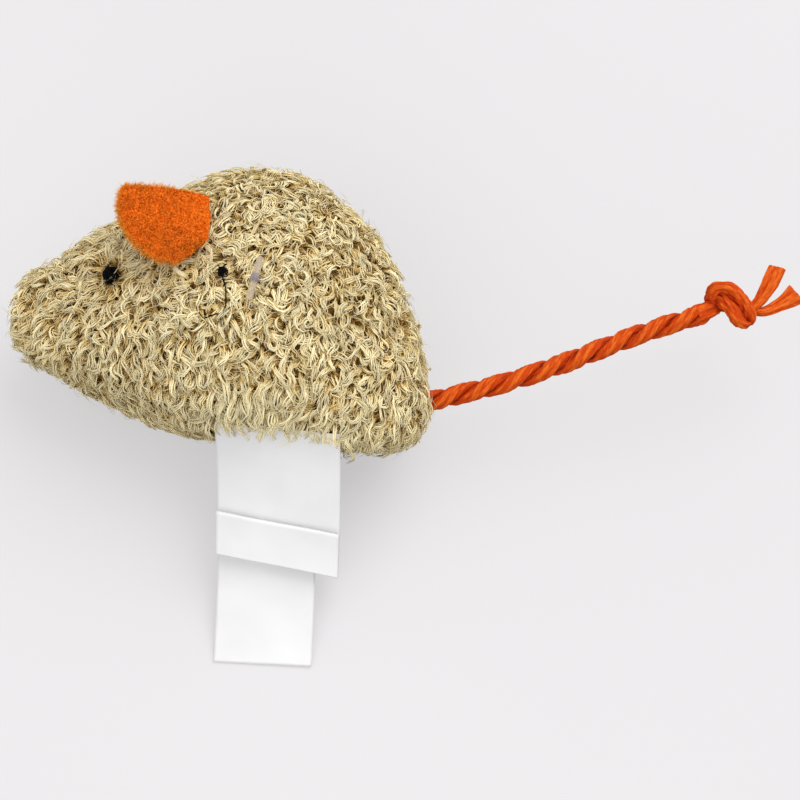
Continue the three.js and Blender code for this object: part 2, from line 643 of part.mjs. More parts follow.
const barLift = TAG_BAR_DIAMETER / 2 + CLEARANCE;
const barCentre = tagPoint.clone().addScaledVector(tagOutward, barLift);
const barAlong = vec(0, 1, 0).addScaledVector(tagOutward, -tagOutward.y).normalize();
const bar = rodBetween(
  barCentre.clone().addScaledVector(barAlong, -TAG_BAR_LENGTH / 2),
  barCentre.clone().addScaledVector(barAlong, TAG_BAR_LENGTH / 2),
  TAG_BAR_DIAMETER / 2,
  BAR_SIDES,
);
const filament = rodBetween(
  tagPoint.clone().addScaledVector(tagOutward, -PLUSH_THICKNESS),
  barCentre,
  TAG_FILAMENT_DIAMETER / 2,
  FILAMENT_SIDES,
);
addPiece(body, 'tag_fastener', toGeometry(toSolid(bar).add(toSolid(filament))), 'clear_plastic');

// Labels: ribbons sewn into the left belly seam that slope down to the table

const labelSeat = onTable(bellyPoint(LABEL_X, bellyHalfWidth(LABEL_X), 0));
const labelStep = 0.5;
const seamAhead = onTable(bellyPoint(LABEL_X + labelStep, bellyHalfWidth(LABEL_X + labelStep), 0));
const labelAxis = seamAhead.sub(labelSeat).setZ(0).normalize();
const labelOutward = vec(labelAxis.y, -labelAxis.x, 0);
const labelRoot = labelSeat.clone().addScaledVector(labelOutward, SEAM_GAP);

// Steepest slope of a ribbon that eases evenly to its resting slope and just meets the table
function ribbonSlope(length, drop) {
  const rest = radians(LABEL_REST_SLOPE);
  const halvings = 50;
  let [low, high] = [rest + radians(1), radians(135)];
  for (let i = 0; i < halvings; i += 1) {
    const slope = (low + high) / 2;
    const fall = (length * (Math.cos(rest) - Math.cos(slope))) / (slope - rest);
    if (fall < drop) low = slope;
    else high = slope;
  }
  return low;
}

const labelDrop = labelRoot.z - LABEL_THICKNESS / 2 - CLEARANCE;
const labelBendLength = CARE_LABEL_LENGTH * Math.cos(radians(LABEL_SLANT));
const labelStart = ribbonSlope(labelBendLength, labelDrop);
const labelBend = (labelStart - radians(LABEL_REST_SLOPE)) / labelBendLength;

// Point on a ribbon: across its width, along its length and raised off the bent sheet
function ribbonPoint(across, along, raise) {
  const slant = radians(LABEL_SLANT);
  const aside = across * Math.cos(slant) + along * Math.sin(slant);
  const out = along * Math.cos(slant) - across * Math.sin(slant);
  const slope = labelStart - labelBend * out;
  const reach = (Math.sin(labelStart) - Math.sin(slope)) / labelBend + raise * Math.sin(slope);
  const fall = (Math.cos(slope) - Math.cos(labelStart)) / labelBend - raise * Math.cos(slope);
  const point = labelRoot.clone().addScaledVector(labelAxis, aside).addScaledVector(labelOutward, reach);
  return point.setZ(point.z - fall);
}

const sewnEdge = (across) => across * Math.tan(radians(LABEL_SLANT));

const careLabel = sheet(LABEL_COLUMNS, CARE_LABEL_ROWS, (u, v) => {
  const across = CARE_LABEL_OFFSET + (u - 0.5) * CARE_LABEL_WIDTH;
  return ribbonPoint(across, THREE.MathUtils.lerp(sewnEdge(across), CARE_LABEL_LENGTH, v), 0);
}, LABEL_THICKNESS);
addPiece(part, 'care_label', careLabel, 'satin');

// The wide label runs down, folds back up and folds down again near its end
const foldBend = Math.PI * FOLD_RADIUS;
const frontLabelLength = FRONT_LABEL_FIRST_RUN + FRONT_LABEL_FOLD_RUN + FRONT_LABEL_LAST_RUN + 2 * foldBend;

const foldTop = FRONT_LABEL_FIRST_RUN - FRONT_LABEL_FOLD_RUN;

// Where a length along the ribbon comes to lie once it is folded
function foldedRun(length) {
  const afterFirst = length - FRONT_LABEL_FIRST_RUN;
  const afterFold = afterFirst - foldBend;
  const afterReturn = afterFold - FRONT_LABEL_FOLD_RUN;
  if (afterFirst <= 0) return { along: length, raise: 0 };
  if (afterFold < 0) {
    const turn = afterFirst / FOLD_RADIUS;
    const along = FRONT_LABEL_FIRST_RUN + FOLD_RADIUS * Math.sin(turn);
    return { along, raise: FOLD_RADIUS * (1 - Math.cos(turn)) };
  }
  if (afterReturn <= 0) return { along: FRONT_LABEL_FIRST_RUN - afterFold, raise: 2 * FOLD_RADIUS };
  if (afterReturn < foldBend) {
    const turn = afterReturn / FOLD_RADIUS;
    return { along: foldTop - FOLD_RADIUS * Math.sin(turn), raise: FOLD_RADIUS * (3 - Math.cos(turn)) };
  }
  return { along: foldTop + afterReturn - foldBend, raise: 4 * FOLD_RADIUS };
}

const frontLabel = sheet(LABEL_COLUMNS, FRONT_LABEL_ROWS, (u, v) => {
  const across = (u - 0.5) * FRONT_LABEL_WIDTH;
  const start = sewnEdge(across);
  const { along, raise } = foldedRun(THREE.MathUtils.lerp(start, frontLabelLength, v));
  const skewed = THREE.MathUtils.smoothstep(along, 0, foldTop - 2 * FOLD_RADIUS);
  const skew = Math.tan(radians(FOLD_SKEW)) * skewed;
  return ribbonPoint(across, along + across * skew, LABEL_THICKNESS + LABEL_PLY_GAP + raise);
}, LABEL_THICKNESS);
addPiece(part, 'front_label', frontLabel, 'satin');

// Tail

// Cord with a round near end, which lets it swing, and a flat far end
function cordLength(points, steps) {
  const radius = CORD_DIAMETER / 2;
  const start = points[0];
  const along = points[1].clone().sub(start).normalize();
  const straight = tube(points, CORD_DIAMETER, CORD_SIDES, steps);
  const profile = spread(CORD_CAP_STEPS, -Math.PI / 2, 0)
    .map((angle) => new THREE.Vector2(radius * Math.cos(angle), radius * Math.sin(angle)));
  profile[0].x = 0;
  profile.push(new THREE.Vector2(radius * CORD_CAP_SHARE, CORD_CAP_OVERLAP));
  profile.push(new THREE.Vector2(0, CORD_CAP_OVERLAP));
  const turn = new THREE.Quaternion().setFromUnitVectors(vec(0, 1, 0), along);
  const cap = new THREE.LatheGeometry(profile, CORD_SIDES).applyQuaternion(turn);
  cap.translate(start.x, start.y, start.z);
  return toGeometry(toSolid(straight).add(toSolid(cap)));
}

const rootStart = tail.point.clone().addScaledVector(tail.outward, -TAIL_ROOT_DEPTH);
addPiece(body, 'tail_root', rodBetween(rootStart, tail.point, CORD_DIAMETER / 2, CORD_SIDES), 'paper_cord');

const tailStart = tail.point.clone().addScaledVector(tail.outward, CORD_DIAMETER / 2 + CLEARANCE);
const tailRoute = TAIL_ROUTE.map(([out, up]) => vec(tailStart.x + out, tailStart.y + up, 0));
const tailCurve = new THREE.CatmullRomCurve3(tailRoute);
const tailSpan = tailCurve.getLength();
const alongTail = (from, to, count) => {
  const distances = spread(count, from, to);
  return distances.map((distance) => tailCurve.getPointAt(distance / tailSpan));
};

const tailBase = cordLength(alongTail(0, TAIL_BASE_LENGTH, TAIL_BASE_STEPS), TAIL_BASE_STEPS);
addPiece(body, 'tail_base', tailBase, 'paper_cord');
const tailPivot = TAIL_BASE_LENGTH + CLEARANCE + CORD_DIAMETER / 2;
const tailRope = cordLength(alongTail(tailPivot, tailSpan, TAIL_ROPE_STEPS), TAIL_ROPE_STEPS);
addPiece(body, 'tail_rope', tailRope, 'paper_cord');

// Overhand knot, drawn at the end of the cord and turned to follow it
const tailEnd = tailRoute[tailRoute.length - 1];
const tailEndAlong = tailCurve.getTangentAt(1);
const tailEndUp = vec(-tailEndAlong.y, tailEndAlong.x, 0);
const knotFrame = new THREE.Matrix4().makeBasis(tailEndAlong, tailEndUp, vec(0, 0, 1));
knotFrame.setPosition(tailEnd.clone().addScaledVector(tailEndAlong, CLEARANCE));
const knotRoute = KNOT_ROUTE.map(([along, up, left]) => vec(along, up, left).applyMatrix4(knotFrame));
addPiece(body, 'tail_knot', tube(knotRoute, KNOT_CORD_DIAMETER, KNOT_SIDES, KNOT_STEPS), 'paper_cord');

// Flattened ply ends that fan out of the knot
const knotCurve = new THREE.CatmullRomCurve3(knotRoute);
const knotOut = knotRoute[knotRoute.length - 1];
const knotOutAlong = knotCurve.getTangentAt(1);
function plyEnd(width, length, turn, raise) {
  const along = tailEndAlong.clone().applyAxisAngle(vec(0, 0, 1), radians(turn));
  const across = vec(-along.y, along.x, 0);
  const start = knotOut.clone().addScaledVector(knotOutAlong, CLEARANCE + KNOT_CORD_DIAMETER / 4);
  start.z += raise;
  return sheet(2, PLY_END_ROWS, (u, v) => {
    const spreadOut = THREE.MathUtils.lerp(PLY_END_GATHER, 1, v) * width * (u - 0.5);
    const point = start.clone().addScaledVector(along, length * v).addScaledVector(across, spreadOut);
    return point.setZ(point.z + PLY_END_ARCH * v * (1 - (2 * u - 1) ** 2));
  }, PLY_END_THICKNESS);
}
const plyRaise = (PLY_END_THICKNESS + CLEARANCE) / 2;
const upperPly = plyEnd(UPPER_PLY_WIDTH, UPPER_PLY_LENGTH, UPPER_PLY_TURN, plyRaise);
const lowerPly = plyEnd(LOWER_PLY_WIDTH, LOWER_PLY_LENGTH, LOWER_PLY_TURN, -plyRaise);
addPiece(body, 'tail_ply_end_upper', upperPly, 'paper_cord');
addPiece(body, 'tail_ply_end_lower', lowerPly, 'paper_cord');

export default part;
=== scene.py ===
"""Catnip mouse: a stuffed toy of curly plush with felt ears, ribbon labels and a knotted paper-cord tail.

Body sizes are in millimetres in body axes, x to the rump, y to the back and z to the left flank.
They are rolled and lifted on to the table, and scaled to metres, when a piece is made.
"""

import json
import math

import bpy
import numpy as np
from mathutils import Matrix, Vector
from mathutils.kdtree import KDTree


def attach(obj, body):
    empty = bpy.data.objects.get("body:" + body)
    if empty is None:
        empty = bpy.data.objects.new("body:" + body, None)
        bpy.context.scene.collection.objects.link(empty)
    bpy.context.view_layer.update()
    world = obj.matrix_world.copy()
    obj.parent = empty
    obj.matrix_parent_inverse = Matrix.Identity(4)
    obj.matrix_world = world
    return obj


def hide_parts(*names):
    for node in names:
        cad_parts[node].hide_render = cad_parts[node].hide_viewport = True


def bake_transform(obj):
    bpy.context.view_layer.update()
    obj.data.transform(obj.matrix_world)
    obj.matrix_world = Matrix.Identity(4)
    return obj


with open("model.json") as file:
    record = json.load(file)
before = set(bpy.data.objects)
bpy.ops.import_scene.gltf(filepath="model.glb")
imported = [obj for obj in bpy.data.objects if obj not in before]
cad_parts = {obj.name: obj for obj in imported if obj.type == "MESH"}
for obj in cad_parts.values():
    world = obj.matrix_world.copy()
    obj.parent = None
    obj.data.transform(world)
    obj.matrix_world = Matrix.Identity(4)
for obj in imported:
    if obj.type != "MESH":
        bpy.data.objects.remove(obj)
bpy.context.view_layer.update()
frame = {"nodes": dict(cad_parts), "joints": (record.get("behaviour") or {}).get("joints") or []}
JOINTS = {joint["name"]: joint for joint in frame["joints"]}

bl_info = {
    "name": "Catnip Mouse",
    "version": (1, 0, 0),
    "blender": (4, 5, 0),
    "location": "View3D > Sidebar > Mouse",
    "description": "Dresses a stuffed mouse in plush, felt, ribbon, thread and paper cord",
    "category": "Object",
}

MM = 0.001
PIECE_TRIANGLES = 190000
UPWARD = np.array((0, 0, 1.0))
TABLE_GAP_PILE = 0.14
TABLE_GAP_BACKING = 0.6
TABLE_GAP_FELT = 0.1
FAR = 99.0

# Body form, as the solids have it: the circles are place along the body, level and radius
NOSE_TIP = -42.0
RUMP_END = 46.2
BACK_CIRCLES = ((-31.7, -7.6, 10.3), (6.2, 5.0, 25.3), (23.5, -2.3, 17.0), (37.0, -12.0, 9.2))
BELLY_CIRCLES = ((-31.7, 7.6, 10.3), (2.0, -19.2, 45.0), (37.0, 12.0, 9.2))
FLANK_CIRCLES = ((-33.0, 0.0, 9.0), (-2.0, 0.0, 20.5), (13.0, 0.0, 21.5), (33.2, 0.0, 13.0))
WIDEST_SHARE = 0.42
BELLY_SQUARENESS = 0.8
BODY_ROLL = math.radians(12)
BODY_PLACE = np.array((-13.5139, 3.5457, 21.2893))
BELLY_FRONT = -36.0
BELLY_REAR = 42.0
BELLY_WIDTH = 25.0

# Ears, eyes, thread and tag, in body axes
EAR_X = -4.4
EAR_TOP = 18.5
EAR_BOTTOM = 4.0
EAR_REACH = 17.0
EAR_SEAM = ((0.9, 0.2), (-1.5, 9.5))
EAR_RIM = ((17.6, 4.0), (19.5, 13.0), (8.5, 20.5), (1.8, 15.6))
EAR_CUP = 0.8
EAR_FLARE = {1: math.radians(13), -1: math.radians(4)}
EAR_CLEARANCE = 1.1
EAR_EDGE = 0.75
EAR_GRID = (64, 48)
EAR_FIBRES = 9000
EAR_CLUMPS = 1500
EAR_FIBRE_WIDTH = 0.085
RIGHT_EAR_RAISE = 2.5
EYE_PLACE = (-21.1, -0.3)
EYE_OUTLINE = (1.0, 0.68, 1.0, 0.8, 0.86, 0.82, 0.92, 0.84)
TIE_OFF_PLACE = (1.8, 4.3)
TAG_PLACE = (8.5, 4.2)
EYE_STITCHES = ((2.3, -0.9), (2.5, -0.4), (1.6, 1.3), (-0.4, 2.3), (0.5, -2.2))
TIE_OFF_STUBS = ((-1.2, 0.8), (0.5, 1.4), (1.2, -0.2), (-0.4, -1.3))
LOOSE_THREAD_ROUTE = (
    (0.2, -0.4), (0.7, -1.7), (1.5, -3.2), (2.1, -4.9), (2.5, -6.6), (2.0, -8.0), (0.9, -8.9), (-0.2, -9.3))
THREAD_HOOK_ROUTE = ((0.4, -9.0), (-0.5, -9.8), (-1.4, -9.9), (-2.3, -9.1))

# Lumps of stuffing: place along the body, spread, height, and 1 above the widest line or -1 below it
LUMPS = (
    (-22, 11, 1.9, -1), (-36, 5, 1.2, -1), (-42, 4, 0.8, 1),
    (-25, 9, 1.2, 1), (28, 5, 2.2, 1), (38, 4, 1.0, 1),
)

# Pile: numbers of the panels, highest reach above its face, and the spots where it is pressed down, each with
# its place, half length, lowest reach, the distances between which the pile rises again, and its flank
LEFT, RIGHT, BELLY, FRINGE = range(4)
PANEL_NAMES = ("left", "right", "belly", "fringe")
PILE_HEIGHT = 2.0
PRESSED_SPOTS = (
    (EYE_PLACE, 0.0, -0.9, 1.5, 3.6, 1),
    (EYE_PLACE, 0.0, -0.9, 1.5, 3.6, -1),
    (TIE_OFF_PLACE, 0.0, -0.7, 1.1, 2.8, 1),
    (TAG_PLACE, 4.5, -0.1, 1.0, 2.4, 1),
)
UNDER_LABELS_FROM, UNDER_LABELS_TO = 3, 34
UNDER_LABELS_REACH = -0.8
FRINGE_CORE = 0.98
FRINGE_FROM = 0.25
UNDERPILE_SEAM_GAP = 3.6
# Colour of the underpile's roots: painted shade deep in the pile
UNDERPILE_SHADE_COLOR = (0.24, 0.125, 0.03, 1)
LOCK_STEPS = 14

# Tail route from the point where it starts to swing, the overhand knot at its end and its loose plies
TAIL_EXIT = np.array((45.645, -8.853, 0.0))
TAIL_START = np.array((47.8534, -8.0497, 0.0))
TAIL_BASE_LENGTH = 4.2
TAIL_POINTS = 420
KNOT_POINTS = 300
KNOT_WAIST = 14
PLY_GRID = (40, 60)
PLY_THICKNESS = 0.42
TAIL_ROUTE = (
    (0, 0), (2, 1.02), (4, 2.03), (8, 4.02), (12, 6.16), (16, 8.5), (20, 10.95), (24, 13.5),
    (28, 16.25), (32, 18.98), (36, 21.6), (40, 24.1), (43, 25.85), (45.3, 27.2), (47.4, 28.5),
)
KNOT_ROUTE = (
    (47.1, 28.3, 0), (49.4, 30.4, -0.4), (51.2, 31.9, -1.4), (53.8, 32.2, -2), (56.1, 31.2, -1.6),
    (56.7, 29.6, -0.4), (56, 28.8, 0.9), (54.4, 29.8, 1.7), (52.9, 31.2, 1.8), (51.4, 32.3, 0.8),
    (50.2, 32.2, -0.5), (49.6, 32.4, -0.6), (49.3, 33.3, 0.6), (49.8, 34.1, 1.7), (50.9, 34.5, 2.3),
    (52.4, 34.4, 2.4), (54.1, 33.6, 2.2), (55.7, 32.4, 1.9), (56.8, 31, 1.3), (57.2, 30, 0.2),
    (56.9, 30.7, -1.2), (57.5, 31.9, -0.7),
)
UPPER_PLY_ROUTE = ((57.2, 31.4, 0.2), (58.8, 34.2, 0.5), (59.8, 37.1, 0.9), (60.8, 41.4, 1.3))
UPPER_PLY_WIDTHS = (1.6, 2.5, 3.4, 3.2)
LOWER_PLY_ROUTE = ((57.4, 31.6, -0.4), (60.3, 32.2, -0.4), (63.0, 34.2, -0.2), (65.9, 37.1, 0.2))
LOWER_PLY_WIDTHS = (1.5, 1.9, 2.9, 4.6)

# Cord sections: a ply's shift off the middle in cord diameters, its half thickness and half width in cord
# radii, and the strength of its crinkles, which are lobes round the ply, their drift along it and their depth
TWO_PLY_SECTION = (0.225, 0.56, 0.75, 1.0)
SQUEEZED_SECTION = (0.0, 0.82, 1.0, 1.9)
CRINKLES = ((3, 0.3, 0.13), (5, -0.5, 0.11), (8, 0.8, 0.07), (13, -1.3, 0.04))
MEAN_FOLD = 0.64

# Labels
LABEL_SLANT = math.radians(3.5)
LABEL_REST_SLOPE = math.radians(11)
LABEL_STEEPEST = math.radians(135)
LABEL_OUTWARD = np.cross(UPWARD, JOINTS["label_flip"]["axis"])
LABEL_END_HEIGHT = 0.425
LABEL_PLY_RAISE = 0.85
CARE_TUCK = 0.2
FRONT_TUCK = -2.1
LABEL_TWIST = 2.1
FIRST_RUN = 28.5
FOLD_RUN = 8.2
LAST_RUN = 8.8
FOLD_RADIUS = 0.45
FOLD_SKEW = math.tan(math.radians(9))


# Settings

class MousePlushSettings(bpy.types.PropertyGroup):
    """Pile of the plush and the cloth that it grows from"""

    pile_depth: bpy.props.FloatProperty(
        name="Pile Depth", description="From the backing cloth to the face of the pile",
        default=1.9 * MM, unit="LENGTH")
    lock_length: bpy.props.FloatProperty(
        name="Lock Length", description="Length of an average lock of the pile",
        default=6 * MM, unit="LENGTH")
    lock_width: bpy.props.FloatProperty(
        name="Lock Width", description="Width of a lock at its root", default=1.4 * MM, unit="LENGTH")
    lock_spacing: bpy.props.FloatProperty(
        name="Lock Spacing", description="Average distance between locks", default=1.08 * MM, unit="LENGTH")
    strands_per_lock: bpy.props.IntProperty(
        name="Strands per Lock", description="Strands that lie side by side in a lock", default=5)
    strand_width: bpy.props.FloatProperty(
        name="Strand Width", description="Thickness of a strand at its middle",
        default=0.3 * MM, unit="LENGTH")
    under_length: bpy.props.FloatProperty(
        name="Underpile Length", description="Length of the short curls that fill the pile",
        default=4 * MM, unit="LENGTH")
    under_spacing: bpy.props.FloatProperty(
        name="Underpile Spacing", description="Average distance between the short curls",
        default=1.25 * MM, unit="LENGTH")
    fuzz_length: bpy.props.FloatProperty(
        name="Fuzz Length", description="Length of the thin fibres that stand out of the pile",
        default=7 * MM, unit="LENGTH")
    fuzz_spacing: bpy.props.FloatProperty(
        name="Fuzz Spacing", description="Average distance between the thin fibres",
        default=1.5 * MM, unit="LENGTH")
    under_share: bpy.props.FloatProperty(
        name="Under Share", description="Share of the locks kept on the flank that lies down",
        default=0.55, subtype="FACTOR")
    # The root colour is painted shade deep in the pile, the middle colour partly the strands' own colour and
    # partly painted shade, and the tip colour their own colour
    root_shade_color: bpy.props.FloatVectorProperty(
        name="Root", description="Painted shade of the strands deep in the pile", subtype="COLOR", size=4,
        default=(0.43, 0.25, 0.065, 1))
    middle_color: bpy.props.FloatVectorProperty(
        name="Middle", description="Strand colour half way up, partly painted shade", subtype="COLOR", size=4,
        default=(0.87, 0.65, 0.26, 1))
    tip_color: bpy.props.FloatVectorProperty(
        name="Tip", description="Strand colour at its end", subtype="COLOR", size=4,
        default=(1.0, 0.885, 0.55, 1))


class MouseFeltSettings(bpy.types.PropertyGroup):
    """Felt of the ears"""

    thickness: bpy.props.FloatProperty(
        name="Thickness", description="Thickness of the felt", default=1.5 * MM, unit="LENGTH")
    fuzz_length: bpy.props.FloatProperty(
        name="Fuzz Length", description="Length of the loose fibres", default=0.75 * MM, unit="LENGTH")
    color: bpy.props.FloatVectorProperty(
        name="Colour", description="Main colour of the felt", subtype="COLOR", size=4,
        default=(0.84, 0.125, 0.003, 1))
    # The dark and light colours are partly the felt's own mottle and partly painted shade in its pits and
    # painted highlight on its raised fibres
    pit_color_and_shade: bpy.props.FloatVectorProperty(
        name="Dark Colour", description="Colour of the pits between fibres, partly painted shade", subtype="COLOR", size=4,
        default=(0.43, 0.03, 0.001, 1))
    raised_color_and_highlight: bpy.props.FloatVectorProperty(
        name="Light Colour", description="Colour of the raised fibres, partly painted highlight", subtype="COLOR", size=4,
        default=(1.0, 0.36, 0.035, 1))
    # Painted highlight: the ends of the rim fibres are lighter, as the lit rim of the ear
    rim_color: bpy.props.FloatVectorProperty(
        name="Rim Highlight Colour", description="Painted highlight at the ends of the rim fibres", subtype="COLOR", size=4,
        default=(0.95, 0.36, 0.03, 1))


class MouseTailSettings(bpy.types.PropertyGroup):
    """Paper cord of the tail"""

    diameter: bpy.props.FloatProperty(
        name="Diameter", description="Diameter over both plies", default=4.1 * MM, unit="LENGTH")
    knot_diameter: bpy.props.FloatProperty(
        name="Knot Cord", description="Diameter of the cord where the knot squeezes it",
        default=3.2 * MM, unit="LENGTH")
    lay_length: bpy.props.FloatProperty(
        name="Lay Length", description="Length of one full turn of the plies",
        default=14.4 * MM, unit="LENGTH")
    color: bpy.props.FloatVectorProperty(
        name="Colour", description="Main colour of the paper", subtype="COLOR", size=4,
        default=(0.58, 0.055, 0.002, 1))
    # Painted shade: the paper's colour in its creases and where the plies meet
    crease_shade_color: bpy.props.FloatVectorProperty(
        name="Crease Shade Colour", description="Painted shade in the creases", subtype="COLOR", size=4,
        default=(0.16, 0.003, 0.001, 1))
    # Painted highlight: the paper's colour on its raised crinkles and ridges
    ridge_highlight_color: bpy.props.FloatVectorProperty(
        name="Ridge Highlight Colour", description="Painted highlight on the ridges", subtype="COLOR", size=4,
        default=(0.82, 0.155, 0.014, 1))


class MouseLabelSettings(bpy.types.PropertyGroup):
    """Blank ribbon labels"""

    care_width: bpy.props.FloatProperty(
        name="Care Width", description="Width of the narrow label", default=20 * MM, unit="LENGTH")
    care_length: bpy.props.FloatProperty(
        name="Care Length", description="Length of the narrow label", default=50 * MM, unit="LENGTH")
    care_offset: bpy.props.FloatProperty(
        name="Care Offset", description="Shift of the narrow label along the seam",
        default=-2.3 * MM, unit="LENGTH")
    front_width: bpy.props.FloatProperty(
        name="Front Width", description="Width of the folded label", default=25 * MM, unit="LENGTH")
    thickness: bpy.props.FloatProperty(
        name="Thickness", description="Thickness of the ribbon", default=0.16 * MM, unit="LENGTH")
    color: bpy.props.FloatVectorProperty(
        name="Colour", description="Colour of the satin", subtype="COLOR", size=4,
        default=(0.88, 0.88, 0.88, 1))


class MouseTrimSettings(bpy.types.PropertyGroup):
    """Eyes, thread and tag fastener"""

    eye_diameter: bpy.props.FloatProperty(
        name="Eye Diameter", description="Diameter of an eye's knot of thread",
        default=3.6 * MM, unit="LENGTH")
    thread_width: bpy.props.FloatProperty(
        name="Thread Width", description="Thickness of the black thread", default=0.42 * MM, unit="LENGTH")
    bar_length: bpy.props.FloatProperty(
        name="Bar Length", description="Length of the tag fastener's bar", default=9.4 * MM, unit="LENGTH")
    bar_width: bpy.props.FloatProperty(
        name="Bar Width", description="Thickness of the tag fastener's bar", default=1.4 * MM, unit="LENGTH")


class MouseStageSettings(bpy.types.PropertyGroup):
    """Camera, light and floor"""

    lens: bpy.props.FloatProperty(
        name="Lens", description="Focal length", default=100, unit="CAMERA")
    distance: bpy.props.FloatProperty(
        name="Distance", description="Camera to the middle of the toy", default=0.4582, unit="LENGTH")
    azimuth: bpy.props.FloatProperty(
        name="Azimuth", description="Camera's turn round the toy",
        default=math.radians(13.5), subtype="ANGLE")
    elevation: bpy.props.FloatProperty(
        name="Elevation", description="Camera's height angle", default=math.radians(70), subtype="ANGLE")
    floor_color: bpy.props.FloatVectorProperty(
        name="Floor", description="Colour of the floor", subtype="COLOR", size=4,
        default=(0.32, 0.315, 0.318, 1))
    floor_glow: bpy.props.FloatProperty(
        name="Floor Glow", description="Brightness that the floor shows to the camera besides its light",
        default=0.46)


# Body form

def taut_height(circles, x, inset):
    """Height at x of a taut line laid over a row of circles."""
    rows = [(centre, level, radius - inset) for centre, level, radius in circles]

    def on_circle(row):
        return row[1] + np.sqrt(np.maximum(row[2] ** 2 - (x - row[0]) ** 2, 0))

    height = on_circle(rows[-1])
    for a, b in reversed(list(zip(rows, rows[1:]))):
        run, rise = b[0] - a[0], b[1] - a[1]
        lean = math.atan2(rise, run) + math.acos((a[2] - b[2]) / math.hypot(run, rise))
        touch_a = a[0] + a[2] * math.cos(lean)
        touch_b = b[0] + b[2] * math.cos(lean)
        share = (x - touch_a) / (touch_b - touch_a)
        line = a[1] + a[2] * math.sin(lean) + share * (rise + (b[2] - a[2]) * math.sin(lean))
        height = np.where(x <= touch_b, line, height)
        height = np.where(x <= touch_a, on_circle(a), height)
    return height


def section_at(x, inset=0.0):
    """Top, bottom, widest level and half width of the body at x."""
    top = taut_height(BACK_CIRCLES, x, inset)
    bottom = -taut_height(BELLY_CIRCLES, x, inset)
    return top, bottom, bottom + WIDEST_SHARE * (top - bottom), taut_height(FLANK_CIRCLES, x, inset)


def body_point(x, angle, inset=0.0):
    """Point on the body, turning from the back over the left flank to the belly."""
    x, angle = np.broadcast_arrays(np.asarray(x, float), np.asarray(angle, float))
    top, bottom, middle, half = section_at(x, inset)
    across, up = np.sin(angle), np.cos(angle)
    low_across = np.sign(across) * np.abs(across) ** BELLY_SQUARENESS
    low_up = np.sign(up) * np.abs(up) ** BELLY_SQUARENESS
    y = np.where(up >= 0, middle + (top - middle) * up, middle + (middle - bottom) * low_up)
    z = half * np.where(up >= 0, across, low_across)
    return np.stack((x, y, z), -1)


def station_x(turn, inset=0.0):
    """Place along the body for a turn from 0 at the nose to pi at the rump."""
    return NOSE_TIP + inset + (RUMP_END - NOSE_TIP - 2 * inset) * (1 - np.cos(turn)) / 2


def flank_point(x, level):
    """Point on the left flank at a level, held at the widest line below it."""
    top, _, middle, _ = section_at(np.asarray(x, float))
    share = np.clip((level - middle) / (top - middle), 0, 1)
    point = body_point(x, np.arccos(share))
    point[..., 1] = level
    return point


def flank_normal(x, level):
    """Outward direction on the left flank."""
    _, _, middle, _ = section_at(np.asarray(x, float))
    level = np.maximum(level, middle + 1)
    along = flank_point(x + 0.5, level) - flank_point(x - 0.5, level)
    upward = flank_point(x, level + 0.5) - flank_point(x, level - 0.5)
    return unit(np.cross(along, upward))


def belly_half_width(x):
    """Half width of the belly panel, which is cut as two equal arcs."""
    radius = ((BELLY_REAR - BELLY_FRONT) ** 2 + BELLY_WIDTH ** 2) / (4 * BELLY_WIDTH)
    chord = np.sqrt(np.maximum(radius ** 2 - (x - (BELLY_FRONT + BELLY_REAR) / 2) ** 2, 0))
    return chord - (radius - BELLY_WIDTH / 2)


def on_table(points):
    """Body axes to the part's frame, in millimetres."""
    points = np.asarray(points, float)
    cos, sin = math.cos(BODY_ROLL), math.sin(BODY_ROLL)
    x, y, z = points[..., 0], points[..., 1], points[..., 2]
    return np.stack((x, y * cos - z * sin, y * sin + z * cos), -1) + BODY_PLACE


def turn_on_table(vectors):
    """Directions in body axes to the part's frame."""
    return on_table(vectors) - BODY_PLACE


# Mesh helpers

def unit(vectors):
    """Vectors of length 1."""
    vectors = np.asarray(vectors, float)
    return vectors / np.maximum(np.linalg.norm(vectors, axis=-1, keepdims=True), 1e-9)


def smooth_step(value, low, high):
    """0 up to low and 1 from high, with an even rise between them."""
    share = np.clip((value - low) / (high - low), 0, 1)
    return share * share * (3 - 2 * share)


def ripple(points, scale, seed):
    """Smooth pseudo-random value from -1 to 1 over space."""
    rng = np.random.default_rng(seed)
    total = 0
    for _ in range(6):
        direction = unit(rng.normal(size=3)) * (1 + rng.random()) / scale
        total = total + np.sin(points @ direction * 2 * math.pi + rng.random() * 6.3)
    return total / 3.5


def curve_points(route, count):
    """Catmull-Rom curve through a route, at even distances."""
    route = np.asarray(route, float)
    padded = np.vstack((2 * route[0] - route[1], route, 2 * route[-1] - route[-2]))
    share = np.linspace(0, 1, 24, endpoint=False)[:, None]
    fine = []
    for a, b, c, d in zip(padded, padded[1:], padded[2:], padded[3:]):
        fine.append(0.5 * (2 * b + (c - a) * share + (2 * a - 5 * b + 4 * c - d) * share ** 2
                           + (3 * b - a - 3 * c + d) * share ** 3))
    fine = np.vstack(fine + [route[-1:]])
    return along_line(fine, count)


def line_distances(line):
    """Distance of each point from the line's start."""
    return np.concatenate(([0], np.cumsum(np.linalg.norm(np.diff(line, axis=0), axis=1))))


def along_line(line, count):
    """Points at even distances on a line."""
    reach = line_distances(line)
    wanted = np.linspace(0, reach[-1], count)
    return np.stack([np.interp(wanted, reach, line[:, axis]) for axis in range(3)], -1)


def line_frames(line, first_side):
    """Tangent, side and top directions that turn as little as they can along a line."""
    tangents = unit(np.gradient(line, axis=0))
    sides = np.zeros_like(line)
    side = np.asarray(first_side, float)
    for i, tangent in enumerate(tangents):
        side = unit(side - tangent * (side @ tangent))
        sides[i] = side
    return tangents, sides, np.cross(tangents, sides)


